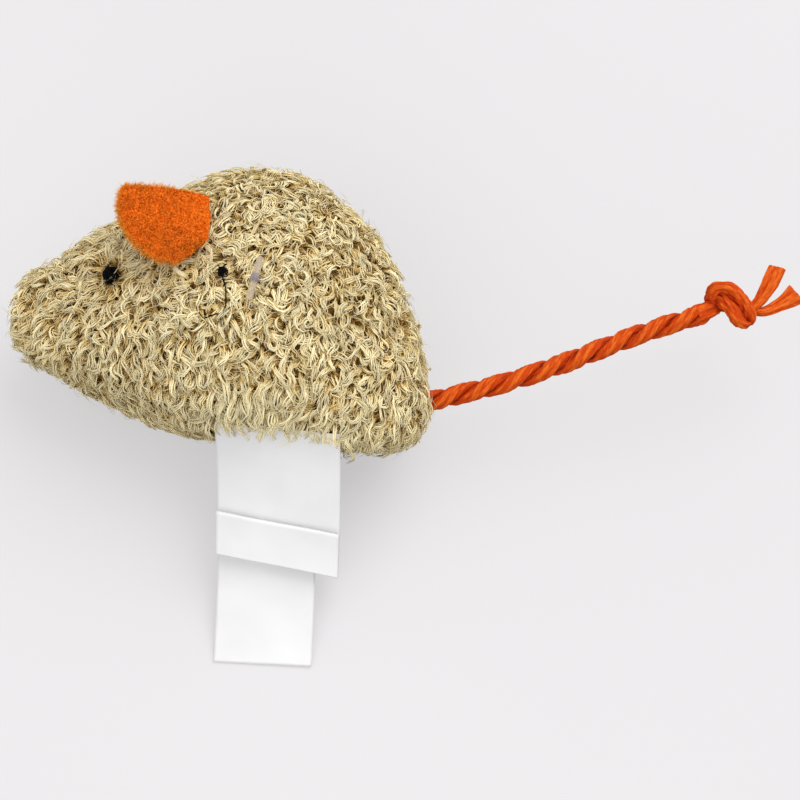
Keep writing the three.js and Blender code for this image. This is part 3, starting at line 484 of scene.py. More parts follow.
def put_piece(name, mesh, material, body):
    """Smooth object of a mesh, with its material and slot, riding on a body where one is given."""
    mesh.shade_smooth()
    piece = bpy.data.objects.new(name, mesh)
    bpy.context.scene.collection.objects.link(piece)
    mesh.materials.append(material)
    if body:
        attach(piece, body)
    return piece


def make_piece(name, points, faces, material, body):
    """Mesh piece from points in millimetres in the part's frame."""
    mesh = bpy.data.meshes.new(name)
    mesh.from_pydata((np.asarray(points) * MM).tolist(), [], [tuple(int(i) for i in face) for face in faces])
    mesh.update()
    return put_piece(name, mesh, material, body)


def color_points(piece, name, values):
    """Stores up to three values at each point, for the material to read."""
    values = np.asarray(values, np.float32)
    rgba = np.ones((len(values), 4), np.float32)
    rgba[:, :values.shape[1]] = values
    attribute = piece.data.attributes.new(name, "FLOAT_COLOR", "POINT")
    attribute.data.foreach_set("color", rgba.ravel())


def ring_faces(rings, sides, close_ends=True):
    """Quads between rings of points, with one face over each end."""
    faces = []
    for ring in range(rings - 1):
        for side in range(sides):
            after = (side + 1) % sides
            low, high = ring * sides, (ring + 1) * sides
            faces.append((low + side, low + after, high + after, high + side))
    if close_ends:
        faces.append(tuple(reversed(range(sides))))
        faces.append(tuple(range((rings - 1) * sides, rings * sides)))
    return faces


def sweep(line, radii, sides, first_side=(0, 0, 1)):
    """Points and faces of a round tube along a line, closed at both ends."""
    _, side, top = line_frames(line, first_side)
    turn = np.linspace(0, 2 * math.pi, sides, endpoint=False)
    ring = np.cos(turn)[None, :, None] * side[:, None] + np.sin(turn)[None, :, None] * top[:, None]
    points = line[:, None] + ring * np.broadcast_to(radii, len(line))[:, None, None]
    return points.reshape(-1, 3), ring_faces(len(line), sides)


def join(parts):
    """One list of points and faces from several."""
    points, faces, start = [], [], 0
    for part_points, part_faces in parts:
        points.append(part_points)
        faces.extend(tuple(index + start for index in face) for face in part_faces)
        start += len(part_points)
    return np.vstack(points), faces


def sheet_mesh(columns, rows, point_at, thickness_at):
    """Closed sheet over a grid, with its own thickness at each point."""
    u, v = np.meshgrid(np.linspace(0, 1, columns + 1), np.linspace(0, 1, rows + 1))
    middle = point_at(u, v)
    across = np.gradient(middle, axis=1)
    along = np.gradient(middle, axis=0)
    normal = unit(np.cross(across, along))
    half = thickness_at(u, v)[..., None] / 2
    upper, lower = middle + normal * half, middle - normal * half
    points = np.concatenate((upper.reshape(-1, 3), lower.reshape(-1, 3)))
    count, width = (columns + 1) * (rows + 1), columns + 1
    faces = []
    for row in range(rows):
        for column in range(columns):
            a = row * width + column
            quad = (a, a + 1, a + 1 + width, a + width)
            faces.append(quad)
            faces.append(tuple(index + count for index in reversed(quad)))
    rim = list(range(columns))
    rim += [row * width + columns for row in range(rows)]
    rim += [rows * width + column for column in range(columns, 0, -1)]
    rim += [row * width for row in range(rows, 0, -1)]
    for index, after in zip(rim, rim[1:] + rim[:1]):
        faces.append((after, index, index + count, after + count))
    return points, faces, np.stack((u, v), -1).reshape(-1, 2)


def strand_piece(name, lines, ups, widths, tones, material, body, light=None):
    """Closed tapered three-sided strands along many lines, as one mesh with a cell of the bake map each.

    Light is how open each point of a line lies, from 0 to 1; without it a strand lightens from root to tip.
    """
    count, steps = lines.shape[0], lines.shape[1] - 1
    tangents = unit(np.gradient(lines, axis=1))
    sides = unit(np.cross(tangents, ups[:, None]))
    tops = np.cross(sides, tangents)
    height = np.linspace(0, 1, steps + 1)
    taper = 0.5 * (0.72 + 0.5 * np.sin(height * math.pi) - 0.42 * height)
    points = []
    for turn in (0.5, 0.5 + 2 * math.pi / 3, 0.5 + 4 * math.pi / 3):
        ring = math.cos(turn) * sides + math.sin(turn) * tops
        points.append(lines + ring * (widths[:, None] * taper)[..., None])
    rings = np.stack(points, 2)[:, :-1].reshape(count, -1, 3)
    points = np.concatenate((rings, lines[:, -1:]), 1)
    per_strand = points.shape[1]

    corners, uvs, sizes = [], [], []
    for step in range(steps - 1):
        for side in range(3):
            low, high, after = 3 * step, 3 * step + 3, (side + 1) % 3
            corners += [low + side, low + after, high + after, high + side]
            uvs += [(side, step), (side + 1, step), (side + 1, step + 1), (side, step + 1)]
            sizes.append(4)
    for side in range(3):
        low = 3 * (steps - 1)
        corners += [low + side, low + (side + 1) % 3, per_strand - 1]
        uvs += [(side, steps - 1), (side + 1, steps - 1), (side + 0.5, steps)]
        sizes.append(3)
    corners += [2, 1, 0]
    uvs += [(0, 0), (1, 0), (2, 0)]
    sizes.append(3)

    offsets = np.arange(count) * per_strand
    loops = (np.array(corners)[None] + offsets[:, None]).ravel()
    totals = np.tile(sizes, count)
    mesh = bpy.data.meshes.new(name)
    mesh.vertices.add(count * per_strand)
    mesh.vertices.foreach_set("co", (points * MM).astype(np.float32).ravel())
    mesh.loops.add(len(loops))
    mesh.loops.foreach_set("vertex_index", loops.astype(np.int32))
    mesh.polygons.add(len(totals))
    mesh.polygons.foreach_set("loop_start", (np.cumsum(totals) - totals).astype(np.int32))
    mesh.update(calc_edges=True)

    cells = math.ceil(math.sqrt(count))
    corner = np.stack((np.arange(count) % cells, np.arange(count) // cells), -1)
    spread = np.array(uvs) / (3, steps) * 0.8 + 0.1
    grid = (corner[:, None] + spread[None]) / cells
    bake = mesh.uv_layers.new(name="OFBake")
    bake.data.foreach_set("uv", grid.astype(np.float32).ravel())

    light = np.tile(height, (count, 1)) if light is None else light
    values = np.empty((count, per_strand, 3))
    values[..., 0] = np.concatenate((np.repeat(light[:, :-1], 3, axis=1), light[:, -1:]), 1)
    values[..., 1:] = tones[:, None]
    piece = put_piece(name, mesh, material, body)
    color_points(piece, "strand", values.reshape(-1, 3))
    return piece


# Material helpers

def new_material(name):
    material = bpy.data.materials.new(name)
    material.use_nodes = True
    nodes = material.node_tree.nodes
    return material, nodes, material.node_tree.links, nodes["Principled BSDF"]


def put_node(nodes, kind, **values):
    """Adds a node and sets its properties, or its sockets by name."""
    node = nodes.new(kind)
    for key, value in values.items():
        if hasattr(node, key):
            setattr(node, key, value)
        else:
            node.inputs[key.replace("_", " ")].default_value = value
    return node


def color_ramp(nodes, stops):
    ramp = nodes.new("ShaderNodeValToRGB")
    elements = ramp.color_ramp.elements
    while len(elements) < len(stops):
        elements.new(0.5)
    for element, (position, color) in zip(elements, stops):
        element.position = position
        element.color = tuple(color)
    return ramp


def wire(links, *rows):
    """Joins nodes: each row has a node, its output, the next node and its input."""
    for source, output, target, entry in rows:
        links.new(source.outputs[output], target.inputs[entry])


def set_inputs(node, values):
    for name, value in values.items():
        node.inputs[name].default_value = value


def finish_node(name, material):
    """Gives a solid that stays in the scene its material."""
    materials = frame["nodes"][name].data.materials
    materials.clear()
    materials.append(material)


def socket(group, name, in_out, kind, value=None):
    made = group.interface.new_socket(name=name, in_out=in_out, socket_type=kind)
    if value is not None:
        made.default_value = value


def mottle_group():
    """Two scales of noise that mix three colours and give a height; the same fine noise puts the dark colour
    in the low places and the light colour on the high ones, as painted shade and highlight.
    """
    group = bpy.data.node_groups.get("Fibre mottle")
    if group:
        return group
    group = bpy.data.node_groups.new("Fibre mottle", "ShaderNodeTree")
    for name, grey in (("Dark", 0.2), ("Main", 0.5), ("Light", 0.8)):
        socket(group, name, "INPUT", "NodeSocketColor", (grey, grey, grey, 1))
    socket(group, "Fine Scale", "INPUT", "NodeSocketFloat", 2500)
    socket(group, "Broad Scale", "INPUT", "NodeSocketFloat", 350)
    socket(group, "Color", "OUTPUT", "NodeSocketColor")
    socket(group, "Height", "OUTPUT", "NodeSocketFloat")
    nodes = group.nodes
    given = nodes.new("NodeGroupInput")
    result = nodes.new("NodeGroupOutput")
    place = nodes.new("ShaderNodeTexCoord")
    fine = put_node(nodes, "ShaderNodeTexNoise", Detail=4.0, Roughness=0.65)
    broad = put_node(nodes, "ShaderNodeTexNoise", Detail=2.0, Roughness=0.5)
    low = put_node(nodes, "ShaderNodeMapRange", From_Min=0.32, From_Max=0.52)
    high = put_node(nodes, "ShaderNodeMapRange", From_Min=0.5, From_Max=0.72)
    dark = put_node(nodes, "ShaderNodeMix", data_type="RGBA")
    light = put_node(nodes, "ShaderNodeMix", data_type="RGBA")
    shade = put_node(nodes, "ShaderNodeMapRange", To_Min=0.82, To_Max=1.18)
    wash = nodes.new("ShaderNodeHueSaturation")
    wire(group.links,
         (place, "Object", fine, "Vector"), (given, "Fine Scale", fine, "Scale"),
         (place, "Object", broad, "Vector"), (given, "Broad Scale", broad, "Scale"),
         (fine, "Fac", low, "Value"), (fine, "Fac", high, "Value"), (broad, "Fac", shade, "Value"),
         (low, "Result", dark, "Factor"), (given, "Dark", dark, "A"), (given, "Main", dark, "B"),
         (high, "Result", light, "Factor"), (dark, "Result", light, "A"), (given, "Light", light, "B"),
         (shade, "Result", wash, "Value"), (light, "Result", wash, "Color"),
         (wash, "Color", result, "Color"), (fine, "Fac", result, "Height"))
    return group


def mottled_material(name, colors, fine, broad, roughness, bump, depth):
    """Rough material of a dark, a main and a light colour, mottled and raised by two scales of noise."""
    material, nodes, links, shader = new_material(name)
    mottle = nodes.new("ShaderNodeGroup")
    mottle.node_tree = mottle_group()
    set_inputs(mottle, dict(zip(("Dark", "Main", "Light"), colors)))
    set_inputs(mottle, {"Fine Scale": fine, "Broad Scale": broad})
    set_inputs(shader, {"Roughness": roughness})
    raised = put_node(nodes, "ShaderNodeBump", Strength=bump, Distance=depth)
    wire(links, (mottle, "Color", shader, "Base Color"), (mottle, "Height", raised, "Height"),
         (raised, "Normal", shader, "Normal"))
    return material, shader


def strand_material(name, root, middle, tip, roughness, contrast=0.16):
    """Colour from the root colour to the tip colour as the strand's light value rises, which paints shade
    deep in the pile and at fibre roots, with a tone for each strand and each lock.
    """
    material, nodes, links, shader = new_material(name)
    read = put_node(nodes, "ShaderNodeAttribute", attribute_name="strand")
    split = nodes.new("ShaderNodeSeparateColor")
    ramp = color_ramp(nodes, ((0.08, root), (0.42, middle), (0.78, tip)))
    tone = put_node(nodes, "ShaderNodeMapRange", To_Min=0.84, To_Max=1.12)
    lock = put_node(nodes, "ShaderNodeMapRange", To_Min=1 - contrast, To_Max=1 + 0.8 * contrast)
    shade = put_node(nodes, "ShaderNodeMath", operation="MULTIPLY")
    wash = nodes.new("ShaderNodeHueSaturation")
    wire(links,
         (read, "Color", split, "Color"), (split, "Red", ramp, "Fac"), (split, "Green", tone, "Value"),
         (split, "Blue", lock, "Value"), (tone, "Result", shade, 0), (lock, "Result", shade, 1),
         (shade, "Value", wash, "Value"), (ramp, "Color", wash, "Color"),
         (wash, "Color", shader, "Base Color"))
    set_inputs(shader, {"Roughness": roughness, "Specular IOR Level": 0.08})
    return material


def thread_material(name, color, dark):
    material, shader = mottled_material(
        name, (dark, color, color), fine=5200, broad=700, roughness=0.9, bump=0.5, depth=0.00008)
    set_inputs(shader, {"Specular IOR Level": 0.06})
    return material


# Tail

def tail_line():
    """Middle line of the tail, from just inside the rump to the knot, in body axes."""
    outward = unit(TAIL_START - TAIL_EXIT)
    route = [TAIL_EXIT - 3 * outward, TAIL_EXIT - outward, TAIL_EXIT + outward]
    route += [TAIL_START + (out, up, 0) for out, up in TAIL_ROUTE]
    return curve_points(route, TAIL_POINTS)


def knot_line():
    """Middle line of the knot, in body axes."""
    return curve_points([TAIL_START + place for place in KNOT_ROUTE], KNOT_POINTS)


def crinkled_cord(line, start, diameters, lay, plies=2, sides=44):
    """Crinkled plies twisted round a line, or one squeezed band, from a start counted from the root."""
    reach = start + line_distances(line)
    tangents, side, top = line_frames(line, (0, 0, 1))
    turn = np.linspace(0, 2 * math.pi, sides, endpoint=False)
    offset, thick, wide_by, rough = TWO_PLY_SECTION if plies == 2 else SQUEEZED_SECTION
    parts, notes = [], []
    for ply in range(plies):
        phase = ply * math.pi - 2 * math.pi * reach / lay if plies == 2 else np.zeros(len(line))
        radial = np.cos(phase)[:, None] * side + np.sin(phase)[:, None] * top
        lateral = np.cross(tangents, radial)
        centre = line + radial * (diameters * offset)[:, None]
        crinkle = np.zeros((len(line), sides))
        for lobes, drift, depth in CRINKLES:
            wander = 0.8 * np.sin(reach * 0.9 * drift + lobes + ply) + 2.1 * ply * lobes
            fold = np.abs(np.cos(lobes * turn[None] / 2 + (reach * drift + wander)[:, None]))
            crinkle += depth * (fold - MEAN_FOLD)
        size = 0.5 * diameters[:, None] * (1 + rough * crinkle)
        out = (np.cos(turn)[None] * size * thick)[..., None] * radial[:, None]
        wide = (np.sin(turn)[None] * size * wide_by)[..., None] * lateral[:, None]
        points = centre[:, None] + out + wide
        parts.append((points.reshape(-1, 3), ring_faces(len(line), sides)))
        # Green is painted shade and highlight: darker in the crinkles' troughs and on the sides where the two
        # plies face each other, lighter on the crinkles' ridges and the plies' outer sides
        note = np.empty((len(line), sides, 3))
        note[..., 0] = (turn / (2 * math.pi))[None]
        bulge = np.cos(turn)[None] if plies == 2 else 0.4 + 0 * turn[None]
        between_plies_shade = 0.34 * smooth_step(-np.cos(turn), 0.0, 0.6)[None] if plies == 2 else 0
        note[..., 1] = np.clip(0.5 + 2.2 * crinkle + 0.18 * bulge - between_plies_shade, 0, 1)
        note[..., 2] = (reach / 100)[:, None]
        notes.append(note.reshape(-1, 3))
    points, faces = join(parts)
    return points, faces, np.vstack(notes)


def paper_material(settings):
    """Crinkled paper: painted shade in the creases along the ply, painted highlight on its ridges, and fibre.
    """
    material, nodes, links, shader = new_material("Twisted paper")
    read = put_node(nodes, "ShaderNodeAttribute", attribute_name="ply")
    split = nodes.new("ShaderNodeSeparateColor")
    joined = nodes.new("ShaderNodeCombineXYZ")
    stretch = put_node(nodes, "ShaderNodeVectorMath", operation="MULTIPLY")
    streak = put_node(nodes, "ShaderNodeTexNoise", Scale=1.0, Detail=5.0, Roughness=0.6)
    place = nodes.new("ShaderNodeTexCoord")
    fibre = put_node(nodes, "ShaderNodeTexNoise", Scale=1900.0, Detail=4.0, Roughness=0.6)
    weigh = put_node(nodes, "ShaderNodeMath", operation="MULTIPLY_ADD")
    lift = put_node(nodes, "ShaderNodeMath", operation="MULTIPLY")
    # The ramp runs from painted shade in the creases through the paper's colour to painted highlight on the
    # ridges
    ramp = color_ramp(nodes, ((0.26, settings.crease_shade_color), (0.47, settings.color), (0.58, settings.color),
                              (0.76, settings.ridge_highlight_color)))
    speck = put_node(nodes, "ShaderNodeMapRange", To_Min=0.86, To_Max=1.14)
    wash = nodes.new("ShaderNodeHueSaturation")
    raised = put_node(nodes, "ShaderNodeBump", Strength=0.55, Distance=0.0004)
    grain = put_node(nodes, "ShaderNodeBump", Strength=0.25, Distance=0.00008)
    set_inputs(stretch, {1: (16, 60, 0)})
    set_inputs(weigh, {1: 0.7})
    set_inputs(lift, {1: 0.45})
    set_inputs(shader, {"Roughness": 0.62, "Specular IOR Level": 0.1})
    wire(links,
         (read, "Color", split, "Color"), (split, "Red", joined, "X"), (split, "Blue", joined, "Y"),
         (joined, "Vector", stretch, 0), (stretch, "Vector", streak, "Vector"),
         (place, "Object", fibre, "Vector"), (streak, "Fac", weigh, 0), (split, "Green", lift, 0),
         (lift, "Value", weigh, 2), (weigh, "Value", ramp, "Fac"), (fibre, "Fac", speck, "Value"),
         (speck, "Result", wash, "Value"), (ramp, "Color", wash, "Color"),
         (wash, "Color", shader, "Base Color"), (streak, "Fac", raised, "Height"),
         (raised, "Normal", grain, "Normal"), (fibre, "Fac", grain, "Height"),
         (grain, "Normal", shader, "Normal"))
    return material


def knot_crevice_shade(line, reach, points):
    """How closely each point of a knotted cord lies against another turn of it, from 0 to 1, where the knot
    takes painted shade.
    """
    own = np.repeat(reach, len(points) // len(line))
    nearest = np.full(len(points), FAR)
    for place, at in zip(line[::4], reach[::4]):
        gap = np.linalg.norm(points - place, axis=1)
        nearest = np.where(np.abs(own - at) > 5, np.minimum(nearest, gap), nearest)
    return 1 - smooth_step(nearest, 1.5, 2.6)


def ply_end(route, widths, seed):
    """Flattened end of a ply that fans out of the knot, creased along its length."""
    columns, rows = PLY_GRID
    rng = np.random.default_rng(seed)
    phases = rng.random(5) * 6.3
    ragged = rng.normal(size=columns + 1) * 0.05
    line = curve_points([TAIL_START + place for place in route], rows + 1)
    tangents = unit(np.gradient(line, axis=0))
    across = unit(np.cross(UPWARD, tangents))
    spread = np.interp(np.linspace(0, 1, rows + 1), np.linspace(0, 1, len(widths)), widths)

    def ridges(u, v):
        return np.abs(np.sin(u * 4.5 + phases[0] + 0.8 * v)), np.abs(np.sin(u * 11 + phases[1] - v))

    def point_at(u, v):
        at = np.round(v * rows).astype(int)
        broad, fine = ridges(u, v)
        crease = 0.3 * broad + 0.1 * fine + 0.05 * np.sin(u * 23 + phases[2] + 6 * v)
        curl = 0.5 * np.sin(math.pi * u) + 0.18 * np.sin(v * 7 + phases[3] + 3 * u)
        end = ragged[np.round(u * columns).astype(int)] * smooth_step(v, 0.8, 1)
        end = end - 0.5 * (u - 0.3) * smooth_step(v, 0.7, 1)
        aside = across[at] * (spread[at] * (u - 0.5))[..., None]
        return line[at] + aside + tangents[at] * end[..., None] + UPWARD * (crease + curl)[..., None]

    points, faces, grid = sheet_mesh(columns, rows, point_at, lambda u, v: np.full(u.shape, PLY_THICKNESS))
    u, v = grid[:, 0], grid[:, 1]
    broad, fine = ridges(u, v)
    # Painted shade and highlight: darker in the valleys of the creases and lighter on their ridges
    tone = 0.2 + 0.45 * broad ** 0.5 + 0.2 * fine
    note = np.stack((u * 0.6, np.clip(tone, 0, 1), v * 0.11), -1)
    return points, faces, np.tile(note, (2, 1))


def knot_widths(knot, reach, thick, thin):
    """Diameters of the cord along the knot, squeezed from thick to thin, with a waist and a thinner end."""
    widths = thick + (thin - thick) * smooth_step(reach, 0, 3)
    waist = reach[np.argmin(np.linalg.norm(knot - TAIL_START - KNOT_ROUTE[KNOT_WAIST], axis=1))]
    widths *= 1 + 0.07 * np.sin(reach * 0.9) - 0.2 * np.exp(-((reach - waist) / 0.9) ** 2)
    return widths * (1 - 0.25 * smooth_step(reach, reach[-1] - 5, reach[-1]))


class MOUSE_OT_tail(bpy.types.Operator):
    """Twisted paper cord, its overhand knot and the flattened ends of its plies"""

    bl_idname = "mouse.tail"
    bl_label = "Tail"

    def execute(self, context):
        settings = context.scene.mouse_tail
        material = paper_material(settings)
        diameter, lay = settings.diameter / MM, settings.lay_length / MM
        line = tail_line()
        reach = line_distances(line)
        start_at = np.argmin(np.linalg.norm(line - TAIL_START, axis=1))
        split = np.argmin(np.abs(reach - reach[start_at] - TAIL_BASE_LENGTH))

        def paper_piece(name, points, faces, note, body):
            piece = make_piece(name, on_table(points), faces, material, body)
            color_points(piece, "ply", note)
            return piece

        def cord_piece(name, part, start):
            diameters = np.full(len(part), diameter)
            return paper_piece(name, *crinkled_cord(part, start, diameters, lay), None)

        root = cord_piece("tail_cord_root", line[:split + 1], reach[0])
        rope = cord_piece("tail_cord", line[split:], reach[split])
        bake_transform(root)
        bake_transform(rope)

        knot = knot_line()
        knot_reach = line_distances(knot)
        widths = knot_widths(knot, knot_reach, diameter * 0.95, settings.knot_diameter / MM)
        points, faces, note = crinkled_cord(knot, reach[-1], widths, lay, 1, 56)
        # Painted shade: the paper darkens where one turn of the knot lies close against another
        note[:, 1] = np.clip(note[:, 1] - 0.45 * knot_crevice_shade(knot, knot_reach, points), 0, 1)
        knot_piece = paper_piece("tail_knot_cord", points, faces, note, "tail")
        ends = [
            paper_piece("tail_ply_fan_upper", *ply_end(UPPER_PLY_ROUTE, UPPER_PLY_WIDTHS, 4), "tail"),
            paper_piece("tail_ply_fan_lower", *ply_end(LOWER_PLY_ROUTE, LOWER_PLY_WIDTHS, 9), "tail"),
        ]

        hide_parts("tail_base")
        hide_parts("tail_rope")
        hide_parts("tail_knot")
        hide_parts("tail_ply_end_upper")
        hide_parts("tail_ply_end_lower")
        finish_node("tail_root", material)
        return {"FINISHED"}


# Plush body

def seam_distance(points):
    """Distance from a point of the surface to the nearest seam, measured across the body."""
    x, y, z = points[..., 0], points[..., 1], np.abs(points[..., 2])
    _, _, middle, _ = section_at(x)
    belly = np.maximum(belly_half_width(x), 0)
    return np.where(y < middle, np.abs(z - belly), z)


def seam_dip(points):
    """How far a seam pinches the surface in."""
    return 1.3 * np.exp(-(seam_distance(points) / 1.5) ** 2)


def lumps(points):
    """How far the stuffing pushes the surface out, most of all at the chin, the brow and the haunch."""
    x, y = points[..., 0], points[..., 1]
    _, _, middle, _ = section_at(x)
    below, above = smooth_step(middle - y, -2, 7), smooth_step(y - middle, 2, 12)
    push = 0.4 * ripple(points, 26, 5) + 0.2 * ripple(points, 11, 8)
    for place, spread, height, side in LUMPS:
        push = push + height * np.exp(-((x - place) / spread) ** 2) * (above if side > 0 else below)
    return push


class MOUSE_OT_backing(bpy.types.Operator):
    """Stuffed body of backing cloth that the pile grows from, pinched at its seams"""

    bl_idname = "mouse.backing"
    bl_label = "Backing Cloth"

    def execute(self, context):
        settings = context.scene.mouse_plush
        depth = settings.pile_depth / MM
        stations, sides = 90, 112
        turns = np.linspace(0, math.pi, stations + 1)[1:-1]
        angles = np.linspace(0, 2 * math.pi, sides, endpoint=False)
        turn, angle = np.meshgrid(turns, angles, indexing="ij")
        rings = body_point(station_x(turn, depth), angle, depth)
        surface = body_point(station_x(turn), angle)
        inward = unit(rings - surface)
        rings = rings + inward * (seam_dip(surface) * 0.8 - lumps(surface))[..., None]
        nose = body_point(NOSE_TIP + depth, 0.0, depth)
        rump = body_point(RUMP_END - depth, 0.0, depth)
        points = np.vstack((rings.reshape(-1, 3), nose[None], rump[None]))
        faces = ring_faces(stations - 1, sides, close_ends=False)
        last = (stations - 2) * sides
        for side in range(sides):
            after = (side + 1) % sides
            faces.append((len(points) - 2, after, side))
            faces.append((len(points) - 1, last + side, last + after))
        placed = on_table(points)
        placed[:, 2] = np.maximum(placed[:, 2], TABLE_GAP_BACKING)
        # The backing cloth's browns are painted shade that darkens the gaps between the locks
        material, shader = mottled_material(
            "Shaded backing cloth", ((0.38, 0.2, 0.045, 1), (0.5, 0.28, 0.07, 1), (0.58, 0.36, 0.11, 1)),
            fine=1500, broad=260, roughness=0.95, bump=0.6, depth=0.0003)
        set_inputs(shader, {"Sheen Weight": 0.15})
        piece = make_piece("backing_cloth", placed, faces, material, "mouse_body")
        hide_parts("left_side_panel", "right_side_panel", "belly_panel")
        return {"FINISHED"}


def scatter(density, seed):
    """Random places over the body, so many to a square millimetre, with their outward directions."""
    rng = np.random.default_rng(seed)
    stations, sides = 160, 220
    turns = (np.arange(stations) + 0.5) * math.pi / stations
    angles = (np.arange(sides) + 0.5) * 2 * math.pi / sides
    turn, angle = np.meshgrid(turns, angles, indexing="ij")

    def point(a, b):
        return body_point(station_x(a), b)

    def slopes(a, b):
        step = 1e-3
        lengthwise = (point(a + step, b) - point(a - step, b)) / (2 * step)
        crosswise = (point(a, b + step) - point(a, b - step)) / (2 * step)
        return lengthwise, crosswise

    along, round_body = slopes(turn, angle)
    area = np.linalg.norm(np.cross(along, round_body), axis=-1) * math.pi / stations * 2 * math.pi / sides
    total = np.cumsum(area.ravel())
    count = int(total[-1] * density)
    cell = np.searchsorted(total, (np.arange(count) + rng.random(count)) / count * total[-1])
    cell = np.minimum(cell, turn.size - 1)
    turn = turn.ravel()[cell] + (rng.random(count) - 0.5) * math.pi / stations
    angle = angle.ravel()[cell] + (rng.random(count) - 0.5) * 2 * math.pi / sides
    turn = np.clip(turn, 0.02, math.pi - 0.02)
    along, round_body = slopes(turn, angle)
    surface = point(turn, angle)
    normal = unit(np.cross(round_body, along))
    middle = np.stack((surface[:, 0] * 0.8, np.full(count, -4.0), np.zeros(count)), -1)
    normal *= np.sign(np.sum(normal * (surface - middle), -1, keepdims=True))
    return rng, surface, normal


def even_scatter(spacing, seed):
    """Scattered places that keep clear of one another by most of the spacing."""
    rng, surface, normal = scatter(5 / spacing ** 2, seed)
    tree = KDTree(len(surface))
    for index, point in enumerate(surface):
        tree.insert(point, index)
    tree.balance()
    taken, kept = np.zeros(len(surface), bool), []
    for index in rng.permutation(len(surface)):
        if not taken[index]:
            kept.append(index)
            taken[[near for _, near, _ in tree.find_range(surface[index], 0.87 * spacing)]] = True
    return rng, surface[kept], normal[kept]


def panel_of(surface):
    """Number of the panel that each point lies on."""
    x, y, z = surface[:, 0], surface[:, 1], surface[:, 2]
    _, _, middle, _ = section_at(x)
    belly = (np.abs(z) < belly_half_width(x)) & (y < middle)
    return np.where(belly, BELLY, np.where(z > 0, LEFT, RIGHT))


def pile_limit(surface):
    """How far above the face of the pile strands may reach, by what is sewn on there."""
    x, y, z = surface[:, 0], surface[:, 1], surface[:, 2]
    limit = np.full(len(surface), PILE_HEIGHT)
    for place, half_length, low, near, far, side in PRESSED_SPOTS:
        beyond = np.maximum(np.abs(y - place[1]) - half_length, 0)
        distance = np.hypot(x - place[0], beyond) + np.where(side * z > 0, 0, FAR)
        limit = np.minimum(limit, low + (PILE_HEIGHT - low) * smooth_step(distance, near, far))
    under_label = (panel_of(surface) == BELLY) & (z > 0) & (x > UNDER_LABELS_FROM) & (x < UNDER_LABELS_TO)
    limit = np.where(under_label, UNDER_LABELS_REACH, limit)
    for raise_by, side in ((0, 1), (RIGHT_EAR_RAISE, -1)):
        beside = (y > EAR_BOTTOM + raise_by - 2.5) & (y < EAR_TOP + raise_by + 1.0) & (side * z > 0)
        under = beside & (x > EAR_X - EAR_REACH) & (x < EAR_X + 0.6)
        limit = np.where(under, np.minimum(limit, -0.3 + 0.05 * (EAR_X - x)), limit)
        behind = beside & (x >= EAR_X + 0.6) & (x < EAR_X + 3)
        limit = np.where(behind, np.minimum(limit, 0.6 * (x - EAR_X)), limit)
    return limit


def label_fringe(surface):
    """1 on the strip of the left flank whose pile hangs over the labels, falling to 0 round it."""
    x, y, z = surface[:, 0], surface[:, 1], surface[:, 2]
    _, _, middle, _ = section_at(x)
    above = np.where((z > 0) & (y < middle), z - belly_half_width(x), FAR)
    over = (1 - smooth_step(above, 5, 9)) * smooth_step(above, -0.5, 0.2)
    return over * smooth_step(x, 3, 6) * (1 - smooth_step(x, 35, 38))


